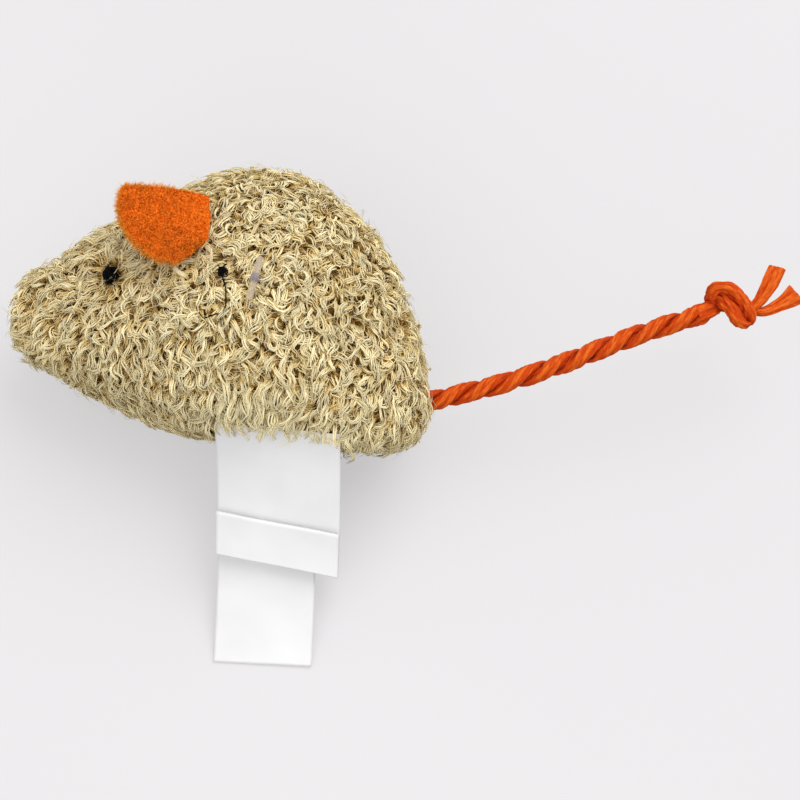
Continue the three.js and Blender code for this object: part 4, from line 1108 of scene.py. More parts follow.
def hang_over_labels(piece):
    """Bakes the placing of the pile above the label seam into its mesh; neither its ends nor its roots move
    with the labels.
    """
    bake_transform(piece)


class MOUSE_OT_plush(bpy.types.Operator):
    """Curly pile in wavy locks that hook over one another"""

    bl_idname = "mouse.plush"
    bl_label = "Plush Pile"

    def execute(self, context):
        settings = context.scene.mouse_plush
        root, middle, tip = settings.root_shade_color, settings.middle_color, settings.tip_color
        pile = strand_material("Curly plush", root, middle, tip, 0.85)
        # The underpile's darker colours are painted shade in the gaps between the locks
        deep = strand_material("Shaded underpile", UNDERPILE_SHADE_COLOR, root, middle, 0.9)
        loose = strand_material("Loose fibres", middle, tip, tip, 0.85)
        width, per_lock = settings.strand_width / MM, settings.strands_per_lock
        layers = (
            ("plush", 26, pile, settings.lock_spacing, settings.lock_length, 7, per_lock, width, 0),
            ("underpile", 30, deep, settings.under_spacing, settings.under_length, 4, per_lock, width, -1.7),
            ("fuzz", 25, loose, settings.fuzz_spacing, settings.fuzz_length, 4, 2, 0.32 * width, 0.4),
        )
        for name, seed, material, spacing, length, steps, strands, thick, raise_by in layers:
            scattered = even_scatter(spacing / MM, seed)
            self.layer(settings, material, name, scattered, length / MM, steps, strands, thick, raise_by)
        return {"FINISHED"}

    def layer(self, settings, material, layer, scattered, length, steps, per_lock, width, raise_by):
        """One layer of locks over the whole body, as pieces of a handy size."""
        rng, seat, up = scattered
        panel = panel_of(seat)
        keep = (panel != RIGHT) | (rng.random(len(seat)) < settings.under_share)
        if raise_by < 0:
            keep &= (label_fringe(seat) < FRINGE_CORE) | (seam_distance(seat) > UNDERPILE_SEAM_GAP)
        seat, up, panel = seat[keep], up[keep], panel[keep]
        heading = unit(np.cross(up, rng.normal(size=up.shape))) if raise_by else self.headings(rng, seat, up)
        ceiling = pile_limit(seat)
        ceiling = ceiling + np.where(ceiling > 0.95 * PILE_HEIGHT, raise_by, min(raise_by, 0))
        locks = self.locks(settings, rng, seat, up, heading, length, ceiling)
        lines = self.strands(settings, rng, locks, up, steps, per_lock)
        tones = np.stack((rng.random(len(lines)), np.tile(rng.random(len(seat)), per_lock)), -1)
        risen = np.sum((lines - lines[:, :1]) * np.tile(up, (per_lock, 1))[:, None], -1)
        # Painted shade: points take darker colours the deeper they lie below the face of the pile
        light = 0.3 * np.linspace(0, 1, steps + 1) + 0.7 * smooth_step(risen, 0.2, 3.4)
        placed = on_table(lines)
        placed[..., 2] = np.maximum(placed[..., 2], TABLE_GAP_PILE + 0.25 * tones[:, 1][:, None])
        ups = np.tile(turn_on_table(up), (per_lock, 1))
        widths = width * (0.7 + 0.6 * rng.random(len(lines)))
        station, panel = np.tile(seat[:, 0], per_lock), np.tile(panel, per_lock)
        panel = np.where(np.tile(label_fringe(seat), per_lock) > FRINGE_FROM, FRINGE, panel)
        for number, name in enumerate(PANEL_NAMES):
            chosen = np.where(panel == number)[0]
            chosen = chosen[np.argsort(station[chosen])]
            pieces = math.ceil(len(chosen) * (6 * steps - 2) / PIECE_TRIANGLES)
            for band, part in enumerate(np.array_split(chosen, pieces)):
                body = None if number == FRINGE else "mouse_body"
                piece = strand_piece(
                    f"{layer}_{name}_{band + 1}", placed[part], ups[part], widths[part], tones[part],
                    material, body, light[part])
                if number == FRINGE:
                    hang_over_labels(piece)

    def headings(self, rng, seat, up):
        """Direction each lock lies in: down the flank, forward on the snout and outward round the eyes."""
        count = len(seat)
        x, y = seat[:, 0], seat[:, 1]
        brow = np.exp(-(((x + 19) / 7) ** 2 + ((y - 5) / 5.5) ** 2))
        forward = 0.65 * smooth_step(-x, 14, 32) + 2 * brow
        heading = np.stack((0.1 - forward, np.full(count, -1.0), np.zeros(count)), -1)
        heading = unit(heading - up * np.sum(heading * up, -1, keepdims=True))
        swirl = 0.9 * ripple(seat, 12, 3) + 0.6 * rng.normal(size=count)
        swirl = swirl * (0.5 + 0.5 * smooth_step(y, -14, 4)) * (1 - 0.75 * brow)
        swirl = swirl * (1 - 0.4 * label_fringe(seat))
        heading = heading * np.cos(swirl)[:, None] + np.cross(up, heading) * np.sin(swirl)[:, None]
        eye = seat[:, :2] - np.array(EYE_PLACE)
        away = np.hypot(eye[:, 0], eye[:, 1])
        radial = np.concatenate((eye / np.maximum(away, 0.1)[:, None], np.zeros((count, 1))), 1)
        near = 0.9 * (1 - smooth_step(away, 2.5, 6.5))[:, None]
        heading = unit(heading * (1 - near) + radial * near)
        return unit(heading - up * np.sum(heading * up, -1, keepdims=True))

    def locks(self, settings, rng, seat, up, heading, length, ceiling):
        """Middle lines of locks that rise from the backing, bend over, wave and end in a hook."""
        count, steps = len(seat), LOCK_STEPS
        side = np.cross(up, heading)
        length = length * (0.7 + 0.6 * rng.random(count))
        length *= 1 - 0.1 * smooth_step(-seat[:, 0], 30, 41)
        sign = np.where(rng.random(count) < 0.5, -1, 1)
        hook = sign * np.where(rng.random(count) < 0.55, 1.6 + 2 * rng.random(count), 0.8 * rng.random(count))
        wave = 0.45 + 0.75 * rng.random(count)
        pace = 2 * math.pi * (0.7 + 0.8 * rng.random(count))
        phase = 2 * math.pi * rng.random(count)
        lift = np.radians(52 + 26 * rng.random(count))
        tip = np.radians(-34 + 34 * rng.random(count))
        fringe = label_fringe(seat)
        length *= 1 + (0.42 - 0.2 * smooth_step(seat[:, 0], 15, 32)) * fringe
        hook = hook * (1 - 0.7 * fringe)
        dip = 0.8 * seam_dip(seat) * (1 - fringe) - lumps(seat) - 0.3 * fringe
        point = seat - up * (settings.pile_depth / MM + 0.2 + dip)[:, None]
        lines = [point]
        for step in range(steps):
            share = (step + 0.5) / steps
            turned = wave * np.sin(pace * share + phase) * share ** 0.5
            turned += hook * (max(share - 0.45, 0) / 0.55) ** 1.5
            rise = lift * (1 - smooth_step(share, 0.12, 0.72)) + tip * share
            flat = heading * np.cos(turned)[:, None] + side * np.sin(turned)[:, None]
            direction = flat * np.cos(rise)[:, None] + up * np.sin(rise)[:, None]
            point = point + direction * (length / steps)[:, None]
            lines.append(point)
        lines = np.stack(lines, 1)
        above = np.sum((lines - seat[:, None]) * up[:, None], -1) + dip[:, None]
        over = np.maximum(above - ceiling[:, None], 0)
        return lines - up[:, None] * over[..., None]

    def strands(self, settings, rng, lines, up, steps, per_lock):
        """Strands of each lock, side by side along its line and drawn together at its end."""
        count, last = len(lines), lines.shape[1] - 1
        tangents = unit(np.gradient(lines, axis=1))
        sides = unit(np.cross(up[:, None], tangents))
        tops = np.cross(tangents, sides)
        along = np.linspace(0, 1, steps + 1)[None]
        row = np.arange(count)[:, None]
        made = []
        for _ in range(per_lock):
            place = along * last * (0.7 + 0.3 * rng.random((count, 1)))
            low = np.minimum(place.astype(int), last - 1)
            share = (place - low)[..., None]
            stray = np.where(rng.random((count, 1)) < 0.14, 1 + rng.random((count, 1)), 0.2)
            spread = settings.lock_width / MM / 2 * (1 - 0.5 * along + stray * along ** 2)
            offset = spread * np.sqrt(rng.random((count, 1)))
            turn = 2 * math.pi * rng.random((count, 1)) + rng.normal(size=(count, 1)) * along
            middle, across, above = (values[row, low] * (1 - share) + values[row, low + 1] * share
                                     for values in (lines, sides, tops))
            kink = 0.14 * np.sin(9 * along + 2 * math.pi * rng.random((count, 1))) * along
            made.append(middle + across * (offset * np.cos(turn) + kink)[..., None]
                        + above * (0.6 * offset * np.sin(turn))[..., None])
        return np.concatenate(made)


# Ears

def ear_frame(side, raise_by):
    """Root of an ear, its downward and forward directions, and the mirror to its flank, in body axes."""
    joint = JOINTS["left_ear_flap" if side > 0 else "right_ear_flap"]
    flare = EAR_FLARE[side]
    levels = np.linspace(EAR_TOP + raise_by, EAR_BOTTOM + raise_by, 9)
    seat = flank_point(np.full(9, EAR_X), levels)
    down = unit(seat[-1] - seat[0])
    base = np.linalg.norm(seat[-1] - seat[0])
    outward = unit(np.cross(down, (1, 0, 0)))
    outward = outward if outward[2] > 0 else -outward
    bulge = np.max((seat - seat[0]) @ outward)
    root = seat[0] + outward * (bulge + EAR_CLEARANCE)
    forward = np.array((-math.cos(flare), 0, 0)) + outward * math.sin(flare)
    mirror = np.array((1, 1, side))
    middle = on_table((root + down * base / 2) * mirror) * MM
    if np.linalg.norm(middle - joint["pos_m"]) > 1.5 * MM:
        raise RuntimeError("the ear's base is off its hinge")
    return root, down, forward, mirror


def bezier(a, b, c, d, share):
    """Points of a cubic curve from a to d."""
    share = share[..., None]
    rest = 1 - share
    return a * rest ** 3 + 3 * b * rest ** 2 * share + 3 * c * rest * share ** 2 + d * share ** 3


class MOUSE_OT_ears(bpy.types.Operator):
    """Thick felt ears with loose fibres on their faces and rims"""

    bl_idname = "mouse.ears"
    bl_label = "Felt Ears"

    def execute(self, context):
        settings = context.scene.mouse_felt
        dark, main, light = settings.pit_color_and_shade, settings.color, settings.raised_color_and_highlight
        # The felt's dark and light colours follow its raised noise: painted shade in the pits and painted
        # highlight on the rises, besides its mottle
        felt, shader = mottled_material(
            "Orange felt", (dark, main, light), fine=2600, broad=420, roughness=0.95, bump=0.9, depth=0.00035)
        set_inputs(shader, {"Specular IOR Level": 0.1})
        # Painted shade and highlight: the felt fibres darken at their roots and lighten at their ends
        fuzz = strand_material("Felt fibres", dark, main, light, 0.9, 0.42)
        # Painted highlight: the rim fibres are lighter still all round the rim
        rim_highlight_fuzz = strand_material("Highlit rim fibres", main, light, settings.rim_color, 0.9)
        for name, side, raise_by in (("left", 1, 0), ("right", -1, RIGHT_EAR_RAISE)):
            self.ear(settings, name, side, raise_by, felt, fuzz, rim_highlight_fuzz)
        return {"FINISHED"}

    def ear(self, settings, name, side, raise_by, felt, fuzz, rim_highlight_fuzz):
        """Cupped sheet of felt from its stitched base to its rim, and the fibres on it."""
        root, down, forward, mirror = ear_frame(side, raise_by)
        normal = unit(np.cross(forward, down))
        normal = normal if normal[2] > 0 else -normal
        thickness = settings.thickness / MM
        rim = [np.array(point) for point in EAR_RIM]
        seam = [np.array(point) for point in EAR_SEAM]

        def middle_at(u, v):
            share = v[..., None]
            place = (seam[0] + (seam[1] - seam[0]) * u[..., None]) * (1 - share) + bezier(*rim, u) * share
            reach, fall = place[..., 0], place[..., 1]
            reach = reach + (0.1 * np.sin(2.3 * fall + 0.5) + 0.12 * np.sin(0.9 * fall)) * (1 - v) ** 3
            fall = fall + 0.3 * np.sin(2.4 * reach) * v ** 3 * smooth_step(u, 0.72, 0.9)
            cup = EAR_CUP * np.sin(math.pi * v)
            wave = 0.22 * np.sin(reach * 0.55 + fall * 0.4 + side) * v
            flat = np.stack((reach, fall, np.zeros_like(reach)), -1)
            rough = 0.09 * ripple(flat, 2.4, 12) + 0.12 * ripple(flat, 5.5, 13)
            return (root + forward * reach[..., None] + down * fall[..., None]
                    + normal * (cup + wave + rough)[..., None])

        def thickness_at(u, v):
            to_rim = np.minimum(np.minimum((1 - v) * 15, u * 13 + (1 - v) * 3), (1 - u) * 13 + (1 - v) * 3)
            share = np.clip(to_rim / EAR_EDGE, 0.06, 1)
            return thickness * np.sqrt(1 - (1 - share) ** 2)

        points, faces, _ = sheet_mesh(*EAR_GRID, middle_at, thickness_at)
        turned = faces if side > 0 else [face[::-1] for face in faces]
        piece = make_piece(f"{name}_ear_felt", on_table(points * mirror), turned, felt, f"{name}_ear")
        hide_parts(f"{name}_ear")
        rng = np.random.default_rng(40 + side)
        self.fibres(settings, name, rng, middle_at, thickness_at, (normal, down, mirror), (fuzz, rim_highlight_fuzz))

    def fibres(self, settings, name, rng, middle_at, thickness_at, directions, materials):
        """Loose fibres on both faces of an ear and round its rim, toned in clumps."""
        normal, down, mirror = directions
        count = EAR_FIBRES
        u, v = rng.random(count), np.sqrt(rng.random(count))
        on_rim = rng.random(count) < 0.22
        on_top = on_rim & (rng.random(count) < 0.35)
        v = np.where(on_rim & ~on_top, 1 - 0.03 * rng.random(count), v)
        u = np.where(on_top, 0.03 * rng.random(count), u)
        face = np.where(rng.random(count) < 0.72, 1, -1)
        half = thickness_at(u, v) / 2
        seat = middle_at(u, v) + normal * (face * half * 0.96)[:, None]
        outward = unit(middle_at(u, np.minimum(v + 0.02, 1.02)) - middle_at(u, v - 0.02))
        outward = np.where(on_top[:, None], -down, outward)
        spray = unit(rng.normal(size=(count, 3)))
        spray = spray + outward * np.where(on_rim, 1.4, 0.0)[:, None]
        heading = unit(spray + normal * (face * 0.35)[:, None])
        bend = unit(rng.normal(size=(count, 3)))
        lengths = settings.fuzz_length / MM * (0.4 + rng.random(count)) * np.where(on_rim, 1.1, 1)
        share = np.linspace(0, 1, 4)[None, :, None]
        curve = heading[:, None] * share + 0.45 * bend[:, None] * share ** 2
        lines = seat[:, None] + curve * lengths[:, None, None]
        level = np.sum((lines - seat[:, None]) * normal, -1) * face[:, None]
        lines = lines + normal * (np.where(level < 0.03, 0.03 - level, 0) * face[:, None])[..., None]
        clumps = KDTree(EAR_CLUMPS)
        for index, clump in enumerate(rng.permutation(count)[:EAR_CLUMPS]):
            clumps.insert(seat[clump], index)
        clumps.balance()
        clump_tones = rng.random(EAR_CLUMPS)
        tones = np.stack((rng.random(count), [clump_tones[clumps.find(place)[1]] for place in seat]), -1)
        ups = np.tile(turn_on_table(normal * mirror), (count, 1))
        placed = on_table(lines * mirror)
        placed[..., 2] = np.maximum(placed[..., 2], TABLE_GAP_FELT)
        for part, chosen, material in zip(("fuzz", "rim_highlight_fuzz"), (~on_rim, on_rim), materials):
            widths = np.full(np.sum(chosen), EAR_FIBRE_WIDTH)
            strand_piece(f"{name}_ear_{part}", placed[chosen], ups[chosen], widths, tones[chosen], material,
                         f"{name}_ear")


# Eyes and thread

def satin_knot(centre, outward, outline, width, count, seed):
    """Stitches that cross in an uneven lump, whose outline gives its reach every 45 degrees from aft."""
    rng = np.random.default_rng(seed)
    aft = unit(np.cross((0, 1, 0), outward))
    top = np.cross(outward, aft)
    size = 2 * sum(outline) / len(outline)
    parts = []
    for index in range(count):
        angle = math.pi * index / count * 2.7 + rng.normal() * 0.25
        along = aft * math.cos(angle) + top * math.sin(angle)
        across = np.cross(outward, along)
        ends = np.interp(np.array((angle + math.pi, angle)) % (2 * math.pi), np.arange(9) * math.pi / 4,
                         outline + outline[:1]) * (0.85 + 0.2 * rng.random())
        share = np.linspace(-1, 1, 13)
        reach = share * np.where(share < 0, ends[0], ends[1])
        height = size * (0.16 + 0.012 * index) * np.cos(share * math.pi / 2) ** 0.7
        height = height - 0.75 * np.abs(share) ** 4
        offset = rng.normal() * size * 0.11 * (1 - 0.6 * share ** 2)
        line = centre + along * reach[:, None] + outward * height[:, None] + across * offset[:, None]
        parts.append(sweep(line, width / 2 * (1 + 0.12 * np.sin(np.arange(13) * 2.1 + index)), 8, outward))
    return parts


class MOUSE_OT_thread(bpy.types.Operator):
    """Eyes of black thread, the knot where it is tied off and its loose end"""

    bl_idname = "mouse.thread"
    bl_label = "Eyes and Thread"

    def execute(self, context):
        settings = context.scene.mouse_trim
        black = thread_material("Black thread", (0.005, 0.005, 0.006, 1), (0.001, 0.001, 0.001, 1))
        width = settings.thread_width / MM
        self.eyes(settings.eye_diameter / MM, width, black)
        self.tie_off(width, black)
        self.loose_end(black)
        return {"FINISHED"}

    def eyes(self, diameter, width, black):
        """The same knot of stitches on both flanks."""
        seat = flank_point(np.array(EYE_PLACE[0]), EYE_PLACE[1])
        outward = flank_normal(np.array(EYE_PLACE[0]), EYE_PLACE[1])
        outline = tuple(diameter / 2 * share for share in EYE_OUTLINE)
        knot = satin_knot(seat + 0.75 * outward, outward, outline, width, 30, 61)
        for x, y in EYE_STITCHES:
            end = flank_point(np.array(EYE_PLACE[0] + x), EYE_PLACE[1] + y) + 0.9 * outward
            stitch = curve_points((seat + 1.1 * outward, (seat + end) / 2 + 1.4 * outward, end), 9)
            knot.append(sweep(stitch, width / 2 * np.linspace(1, 0.5, 9), 8))
        points, faces = join(knot)
        for name, side in (("left", 1), ("right", -1)):
            turned = faces if side > 0 else [face[::-1] for face in faces]
            placed = on_table(points * (1, 1, side))
            piece = make_piece(f"{name}_eye_knot", placed, turned, black, "mouse_body")
            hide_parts(f"{name}_eye")

    def tie_off(self, width, black):
        """Small knot with short stubs, behind the left ear."""
        seat = flank_point(np.array(TIE_OFF_PLACE[0]), TIE_OFF_PLACE[1])
        outward = flank_normal(np.array(TIE_OFF_PLACE[0]), TIE_OFF_PLACE[1])
        parts = satin_knot(seat + outward * 0.9, outward, (0.95,) * 8, width * 0.8, 11, 77)
        for x, y in TIE_OFF_STUBS:
            end = flank_point(np.array(TIE_OFF_PLACE[0] + x), TIE_OFF_PLACE[1] + y) + outward * 1.1
            stub = curve_points((seat + outward * 1.1, (seat + end) / 2 + outward * 1.4, end), 8)
            parts.append(sweep(stub, 0.14, 6))
        points, faces = join(parts)
        piece = make_piece("tie_off_knot", on_table(points), faces, black, "mouse_body")
        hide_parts("thread_tie_off")

    def loose_end(self, black):
        """Thread that wanders down the flank and ends in a hook."""
        parts = []
        for route, width_share in ((LOOSE_THREAD_ROUTE, 1.0), (THREAD_HOOK_ROUTE, 0.8)):
            x = np.array([TIE_OFF_PLACE[0] + aft for aft, _ in route])
            level = np.array([TIE_OFF_PLACE[1] + up for _, up in route])
            lift = 1.3 + 0.35 * np.sin(np.arange(len(route)) * 2.3)
            line = curve_points(flank_point(x, level) + flank_normal(x, level) * lift[:, None], 40)
            parts.append(sweep(line, 0.15 * width_share * (1 + 0.1 * np.sin(np.arange(40))), 8))
        points, faces = join(parts)
        piece = make_piece("loose_thread", on_table(points), faces, black, "mouse_body")
        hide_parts("loose_thread_end")


# Tag fastener

def nylon_material():
    """Clear, slightly milky nylon that is denser at the gate in its middle."""
    material, nodes, links, shader = new_material("Clear nylon")
    place = nodes.new("ShaderNodeTexCoord")
    haze = put_node(nodes, "ShaderNodeTexNoise", Scale=700.0, Detail=3.0)
    read = put_node(nodes, "ShaderNodeAttribute", attribute_name="gate")
    ramp = color_ramp(nodes, ((0.1, (0.78, 0.66, 0.5, 1)), (0.6, (0.36, 0.3, 0.33, 1))))
    rough = put_node(nodes, "ShaderNodeMapRange", To_Min=0.18, To_Max=0.42)
    cover = put_node(nodes, "ShaderNodeMapRange", To_Min=0.46, To_Max=0.75)
    wire(links,
         (place, "Object", haze, "Vector"), (haze, "Fac", rough, "Value"), (read, "Fac", ramp, "Fac"),
         (read, "Fac", cover, "Value"), (ramp, "Color", shader, "Base Color"),
         (rough, "Result", shader, "Roughness"), (cover, "Result", shader, "Alpha"))
    set_inputs(shader, {"Transmission Weight": 0.3, "IOR": 1.45})
    return material


class MOUSE_OT_tag(bpy.types.Operator):
    """Clear fastener: a round-ended bar with a mould line, and the filament that goes into the plush"""

    bl_idname = "mouse.tag"
    bl_label = "Tag Fastener"

    def execute(self, context):
        settings = context.scene.mouse_trim
        length, width = settings.bar_length / MM, settings.bar_width / MM
        joint = JOINTS["tag_bar_swivel"]
        centre, outward = np.array(joint["pos_m"]) / MM, unit(joint["axis"])
        up = turn_on_table(np.array((0.0, 1.0, 0.0)))
        along = unit(up - outward * (up @ outward))
        across = np.cross(along, outward)
        share = np.sin(np.linspace(-math.pi / 2, math.pi / 2, 41))
        line = centre + along * (share * length / 2)[:, None] + outward * (0.12 - 0.35 * share ** 2)[:, None]
        to_end = np.minimum(1 - np.abs(share), 0.12) / 0.12
        collar = 1 + 0.3 * np.exp(-(share * length / 2 / 0.75) ** 4)
        radii = width / 2 * np.sqrt(1 - (1 - to_end) ** 2 * 0.985) * collar
        turn = np.linspace(0, 2 * math.pi, 24, endpoint=False)
        mould_line = 1 + 0.05 * (np.abs(np.cos(turn)) > 0.98)
        ring = (np.cos(turn) * mould_line)[None, :, None] * across
        ring = ring + (np.sin(turn) * 0.86)[None, :, None] * outward
        bar = ((line[:, None] + ring * radii[:, None, None]).reshape(-1, 3), ring_faces(len(line), 24))
        stem = np.linspace(0.2, -4.2, 12)
        flare = 0.3 + 0.25 * np.exp(-((stem - 0.2) / 0.5) ** 2)
        filament = sweep(centre + outward * stem[:, None], flare, 12, along)
        points, faces = join((bar, filament))
        piece = make_piece("tag_bar", points, faces, nylon_material(), "tag_fastener")
        gate = np.exp(-((points - centre) @ along / 0.85) ** 4)
        color_points(piece, "gate", np.repeat(gate[:, None], 3, 1))
        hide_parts("tag_fastener")
        return {"FINISHED"}


# Labels

def ribbon_point(across, along, raise_by, length):
    """Point on a ribbon that bends from the seam down to the table, in the part's frame."""
    root = np.array(JOINTS["label_flip"]["pos_m"]) / MM
    axis = -unit(JOINTS["label_flip"]["axis"])
    bend_length = length * math.cos(LABEL_SLANT)
    drop = root[2] - LABEL_END_HEIGHT
    low, high = LABEL_REST_SLOPE + 0.02, LABEL_STEEPEST
    for _ in range(50):
        slope = (low + high) / 2
        fall = bend_length * (math.cos(LABEL_REST_SLOPE) - math.cos(slope)) / (slope - LABEL_REST_SLOPE)
        low, high = (slope, high) if fall < drop else (low, slope)
    start = low
    bend = (start - LABEL_REST_SLOPE) / bend_length
    aside = across * math.cos(LABEL_SLANT) + along * math.sin(LABEL_SLANT)
    out = along * math.cos(LABEL_SLANT) - across * math.sin(LABEL_SLANT)
    slope = start - bend * out
    reach = (math.sin(start) - np.sin(slope)) / bend + raise_by * np.sin(slope)
    fall = (np.cos(slope) - math.cos(start)) / bend - raise_by * np.cos(slope)
    fall = fall + LABEL_TWIST * smooth_step(across, -4, 12) * (1 - smooth_step(along, -1, 20))
    return root + axis * aside[..., None] + LABEL_OUTWARD * reach[..., None] - UPWARD * fall[..., None]


def folded_run(length):
    """Where a length along the folded label comes to lie: along the ribbon, and raised off it."""
    bend = math.pi * FOLD_RADIUS
    top = FIRST_RUN - FOLD_RUN
    first = length - FIRST_RUN
    fold = first - bend
    back = fold - FOLD_RUN
    last = back - bend
    cases = (first <= 0, fold < 0, back <= 0, last < 0)
    turn_one, turn_two = np.clip(first / FOLD_RADIUS, 0, math.pi), np.clip(back / FOLD_RADIUS, 0, math.pi)
    along = np.select(cases, (length, FIRST_RUN + FOLD_RADIUS * np.sin(turn_one), FIRST_RUN - fold,
                              top - FOLD_RADIUS * np.sin(turn_two)), top + last)
    raised = np.select(cases, (0 * length, FOLD_RADIUS * (1 - np.cos(turn_one)), 2 * FOLD_RADIUS + 0 * length,
                               FOLD_RADIUS * (3 - np.cos(turn_two))), 4 * FOLD_RADIUS)
    return along, raised


def satin_material(settings):
    """Satin ribbon: long floats across a fine weave, with a soft wash of grey."""
    material, nodes, links, shader = new_material("White satin")
    grey = tuple(value * 0.93 for value in settings.color[:3]) + (1,)
    place = nodes.new("ShaderNodeTexCoord")
    stretch = put_node(nodes, "ShaderNodeVectorMath", operation="MULTIPLY")
    floats = put_node(nodes, "ShaderNodeTexNoise", Scale=1.0, Detail=2.0)
    wash = put_node(nodes, "ShaderNodeTexNoise", Scale=90.0, Detail=2.0)
    ramp = color_ramp(nodes, ((0.3, grey), (0.7, settings.color)))
    raised = put_node(nodes, "ShaderNodeBump", Strength=0.3, Distance=0.00005)
    shine = put_node(nodes, "ShaderNodeMapRange", To_Min=0.4, To_Max=0.6)
    set_inputs(stretch, {1: (9000, 1500, 1500)})
    set_inputs(shader, {"Sheen Weight": 0.1})
    wire(links,
         (place, "Object", stretch, 0), (stretch, "Vector", floats, "Vector"),
         (place, "Object", wash, "Vector"), (wash, "Fac", ramp, "Fac"), (ramp, "Color", shader, "Base Color"),
         (floats, "Fac", raised, "Height"), (raised, "Normal", shader, "Normal"),
         (floats, "Fac", shine, "Value"), (shine, "Result", shader, "Roughness"))
    return material


class MOUSE_OT_labels(bpy.types.Operator):
    """Two blank satin ribbons: a narrow one, and a wide one that is folded on itself above it"""

    bl_idname = "mouse.labels"
    bl_label = "Labels"

    def execute(self, context):
        settings = context.scene.mouse_labels
        material = satin_material(settings)
        thickness = settings.thickness / MM
        length = settings.care_length / MM

        def even(u, v):
            selvedge = np.exp(-(np.minimum(u, 1 - u) / 0.02) ** 2)
            return thickness * (1 + 0.5 * selvedge)

        def care_at(u, v):
            across = settings.care_offset / MM + (u - 0.5) * settings.care_width / MM
            along = CARE_TUCK + (length - CARE_TUCK) * v
            wave = 0.16 * np.sin(along * 0.16 + 1) * np.sin(math.pi * v)
            wave = wave + 0.1 * np.sin(across * 0.35 + along * 0.11)
            wave = wave * smooth_step(v, 0, 0.25) * smooth_step(1 - v, 0, 0.2)
            return ribbon_point(across, along, wave, length)

        points, faces, _ = sheet_mesh(30, 90, care_at, even)
        care = make_piece("care_ribbon", points, faces, material, "care_label")
        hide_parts("care_label")

        total = FIRST_RUN + FOLD_RUN + LAST_RUN + 2 * math.pi * FOLD_RADIUS
        top = FIRST_RUN - FOLD_RUN

        def front_at(u, v):
            across = (u - 0.5) * settings.front_width / MM
            along, raised = folded_run(FRONT_TUCK + (total - FRONT_TUCK) * v)
            skew = FOLD_SKEW * smooth_step(along, 0, top - 2 * FOLD_RADIUS)
            wave = 0.2 * np.sin(across * 0.24 + along * 0.1 + 0.6) * smooth_step(along, 0, 8)
            return ribbon_point(across, along + across * skew, LABEL_PLY_RAISE + raised + wave, length)

        points, faces, _ = sheet_mesh(36, 210, front_at, even)
        front = make_piece("front_ribbon", points, faces, material, "front_label")
        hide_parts("front_label")
        return {"FINISHED"}


# Pieces that stay as they are

class MOUSE_OT_inner(bpy.types.Operator):
    """Finishes of the stuffing, the catnip, the seam threads and the stitches"""

    bl_idname = "mouse.inner"
    bl_label = "Stuffing and Seams"

    def execute(self, context):
        fibre, _ = mottled_material(
            "Polyester fibre", ((0.6, 0.6, 0.57, 1), (0.85, 0.84, 0.8, 1), (0.95, 0.95, 0.93, 1)),
            fine=900, broad=200, roughness=0.95, bump=0.8, depth=0.0006)
        leaf, _ = mottled_material(
            "Dried leaf", ((0.06, 0.05, 0.015, 1), (0.15, 0.17, 0.05, 1), (0.3, 0.3, 0.12, 1)),
            fine=800, broad=160, roughness=0.95, bump=1.0, depth=0.0008)
        thread = thread_material("Beige thread", (0.5, 0.4, 0.2, 1), (0.25, 0.19, 0.08, 1))
        finishes = {
            "stuffing": fibre,
            "catnip_fill": leaf,
            "seam_thread": thread,
            "stitch": thread,
            "eye_thread": bpy.data.materials["Black thread"],
        }
        for name in frame["nodes"]:
            for part, material in finishes.items():
                if part in name:
                    finish_node(name, material)
        return {"FINISHED"}


# Stage

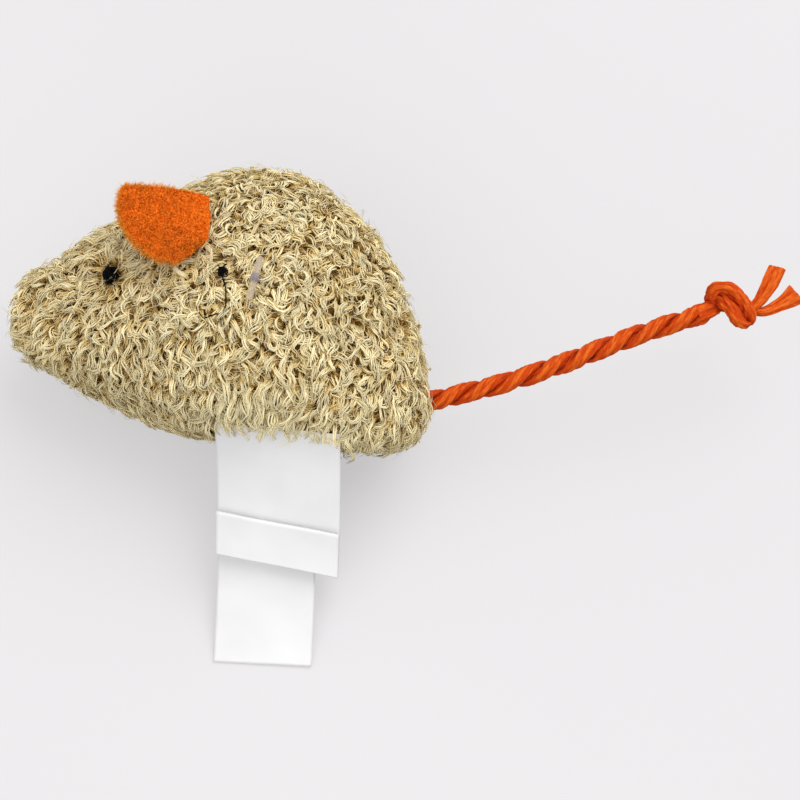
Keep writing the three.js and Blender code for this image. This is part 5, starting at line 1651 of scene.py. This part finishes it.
class MOUSE_OT_stage(bpy.types.Operator):
    """Camera, soft light and a plain pale floor"""

    bl_idname = "mouse.stage"
    bl_label = "Stage"

    def execute(self, context):
        settings = context.scene.mouse_stage
        context.scene.view_settings.view_transform = "Standard"
        self.camera(context.scene, settings)
        self.light(context.scene)
        self.floor(context.scene, settings)
        return {"FINISHED"}

    def camera(self, scene, settings):
        """Camera that looks down at the toy from its belly side."""
        azimuth, elevation = settings.azimuth, settings.elevation
        back = Vector((math.sin(azimuth) * math.cos(elevation), -math.cos(azimuth) * math.cos(elevation),
                       math.sin(elevation)))
        right = Vector((math.cos(azimuth), math.sin(azimuth), 0))
        up = back.cross(right)
        target = Vector((0.03, 0, 0.015)) - right * 0.00495 - up * 0.0035
        camera = bpy.data.objects.new("Camera", bpy.data.cameras.new("Camera"))
        camera.data.sensor_width = 36
        camera.data.lens = settings.lens
        camera.data.clip_start = 0.01
        camera.location = target + back * settings.distance
        camera.rotation_euler = back.to_track_quat("Z", "Y").to_euler()
        scene.collection.objects.link(camera)
        scene.camera = camera

    def light(self, scene):
        """Two soft lamps and an even sky."""
        aim = Vector((0.02, 0, 0.01))
        for name, place, size, power in (
                ("Key", (0.28, 0.42, 0.78), 0.8, 5.1), ("Fill", (-0.3, -0.6, 0.6), 0.8, 1.6)):
            lamp = bpy.data.lights.new(name, "AREA")
            lamp.size = size
            lamp.energy = power
            light = bpy.data.objects.new(name, lamp)
            light.location = place
            light.rotation_euler = (Vector(place) - aim).to_track_quat("Z", "Y").to_euler()
            scene.collection.objects.link(light)
        world = bpy.data.worlds.new("Studio")
        world.use_nodes = True
        scene.world = world
        set_inputs(world.node_tree.nodes["Background"], {"Color": (1, 0.99, 1, 1), "Strength": 0.7})

    def floor(self, scene, settings):
        """Pale floor that glows a little to the camera, also through clear plastic, so that it stays even."""
        mesh = bpy.data.meshes.new("floor")
        mesh.from_pydata([(-3, -3, 0), (3, -3, 0), (3, 3, 0), (-3, 3, 0)], [], [(0, 1, 2, 3)])
        floor = bpy.data.objects.new("floor", mesh)
        scene.collection.objects.link(floor)
        material, shader = mottled_material(
            "Pale floor", (settings.floor_color,) * 3, fine=60, broad=3, roughness=0.9, bump=0.0,
            depth=0.0001)
        nodes, links = material.node_tree.nodes, material.node_tree.links
        rays = nodes.new("ShaderNodeLightPath")
        seen = put_node(nodes, "ShaderNodeMath", operation="MAXIMUM")
        glow = put_node(nodes, "ShaderNodeMath", operation="MULTIPLY")
        set_inputs(glow, {1: settings.floor_glow})
        set_inputs(shader, {"Emission Color": (1, 0.985, 1, 1)})
        wire(links,
             (rays, "Is Camera Ray", seen, 0), (rays, "Is Transmission Ray", seen, 1),
             (seen, "Value", glow, 0), (glow, "Value", shader, "Emission Strength"))
        mesh.materials.append(material)


class MOUSE_PT_panel(bpy.types.Panel):
    """Sizes, colours and pieces of the mouse"""

    bl_label = "Catnip Mouse"
    bl_idname = "MOUSE_PT_panel"
    bl_space_type = "VIEW_3D"
    bl_region_type = "UI"
    bl_category = "Mouse"

    def draw(self, context):
        for operator in OPERATORS:
            self.layout.operator(operator.bl_idname)
        for name, group in SETTINGS.items():
            box = self.layout.box()
            for key in group.__annotations__:
                box.prop(getattr(context.scene, name), key)


SETTINGS = {
    "mouse_stage": MouseStageSettings,
    "mouse_tail": MouseTailSettings,
    "mouse_plush": MousePlushSettings,
    "mouse_felt": MouseFeltSettings,
    "mouse_trim": MouseTrimSettings,
    "mouse_labels": MouseLabelSettings,
}
OPERATORS = (MOUSE_OT_stage, MOUSE_OT_tail, MOUSE_OT_backing, MOUSE_OT_plush, MOUSE_OT_ears, MOUSE_OT_thread,
             MOUSE_OT_tag, MOUSE_OT_labels, MOUSE_OT_inner)
CLASSES = tuple(SETTINGS.values()) + OPERATORS + (MOUSE_PT_panel,)


def register():
    for item in CLASSES:
        bpy.utils.register_class(item)
    for name, group in SETTINGS.items():
        setattr(bpy.types.Scene, name, bpy.props.PointerProperty(type=group))


def unregister():
    for name in SETTINGS:
        delattr(bpy.types.Scene, name)
    for item in reversed(CLASSES):
        bpy.utils.unregister_class(item)


def main():
    register()
    bpy.ops.mouse.stage()
    bpy.ops.mouse.tail()
    bpy.ops.mouse.backing()
    bpy.ops.mouse.plush()
    bpy.ops.mouse.ears()
    bpy.ops.mouse.thread()
    bpy.ops.mouse.tag()
    bpy.ops.mouse.labels()
    bpy.ops.mouse.inner()
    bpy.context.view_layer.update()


if __name__ == "__main__":
    main()
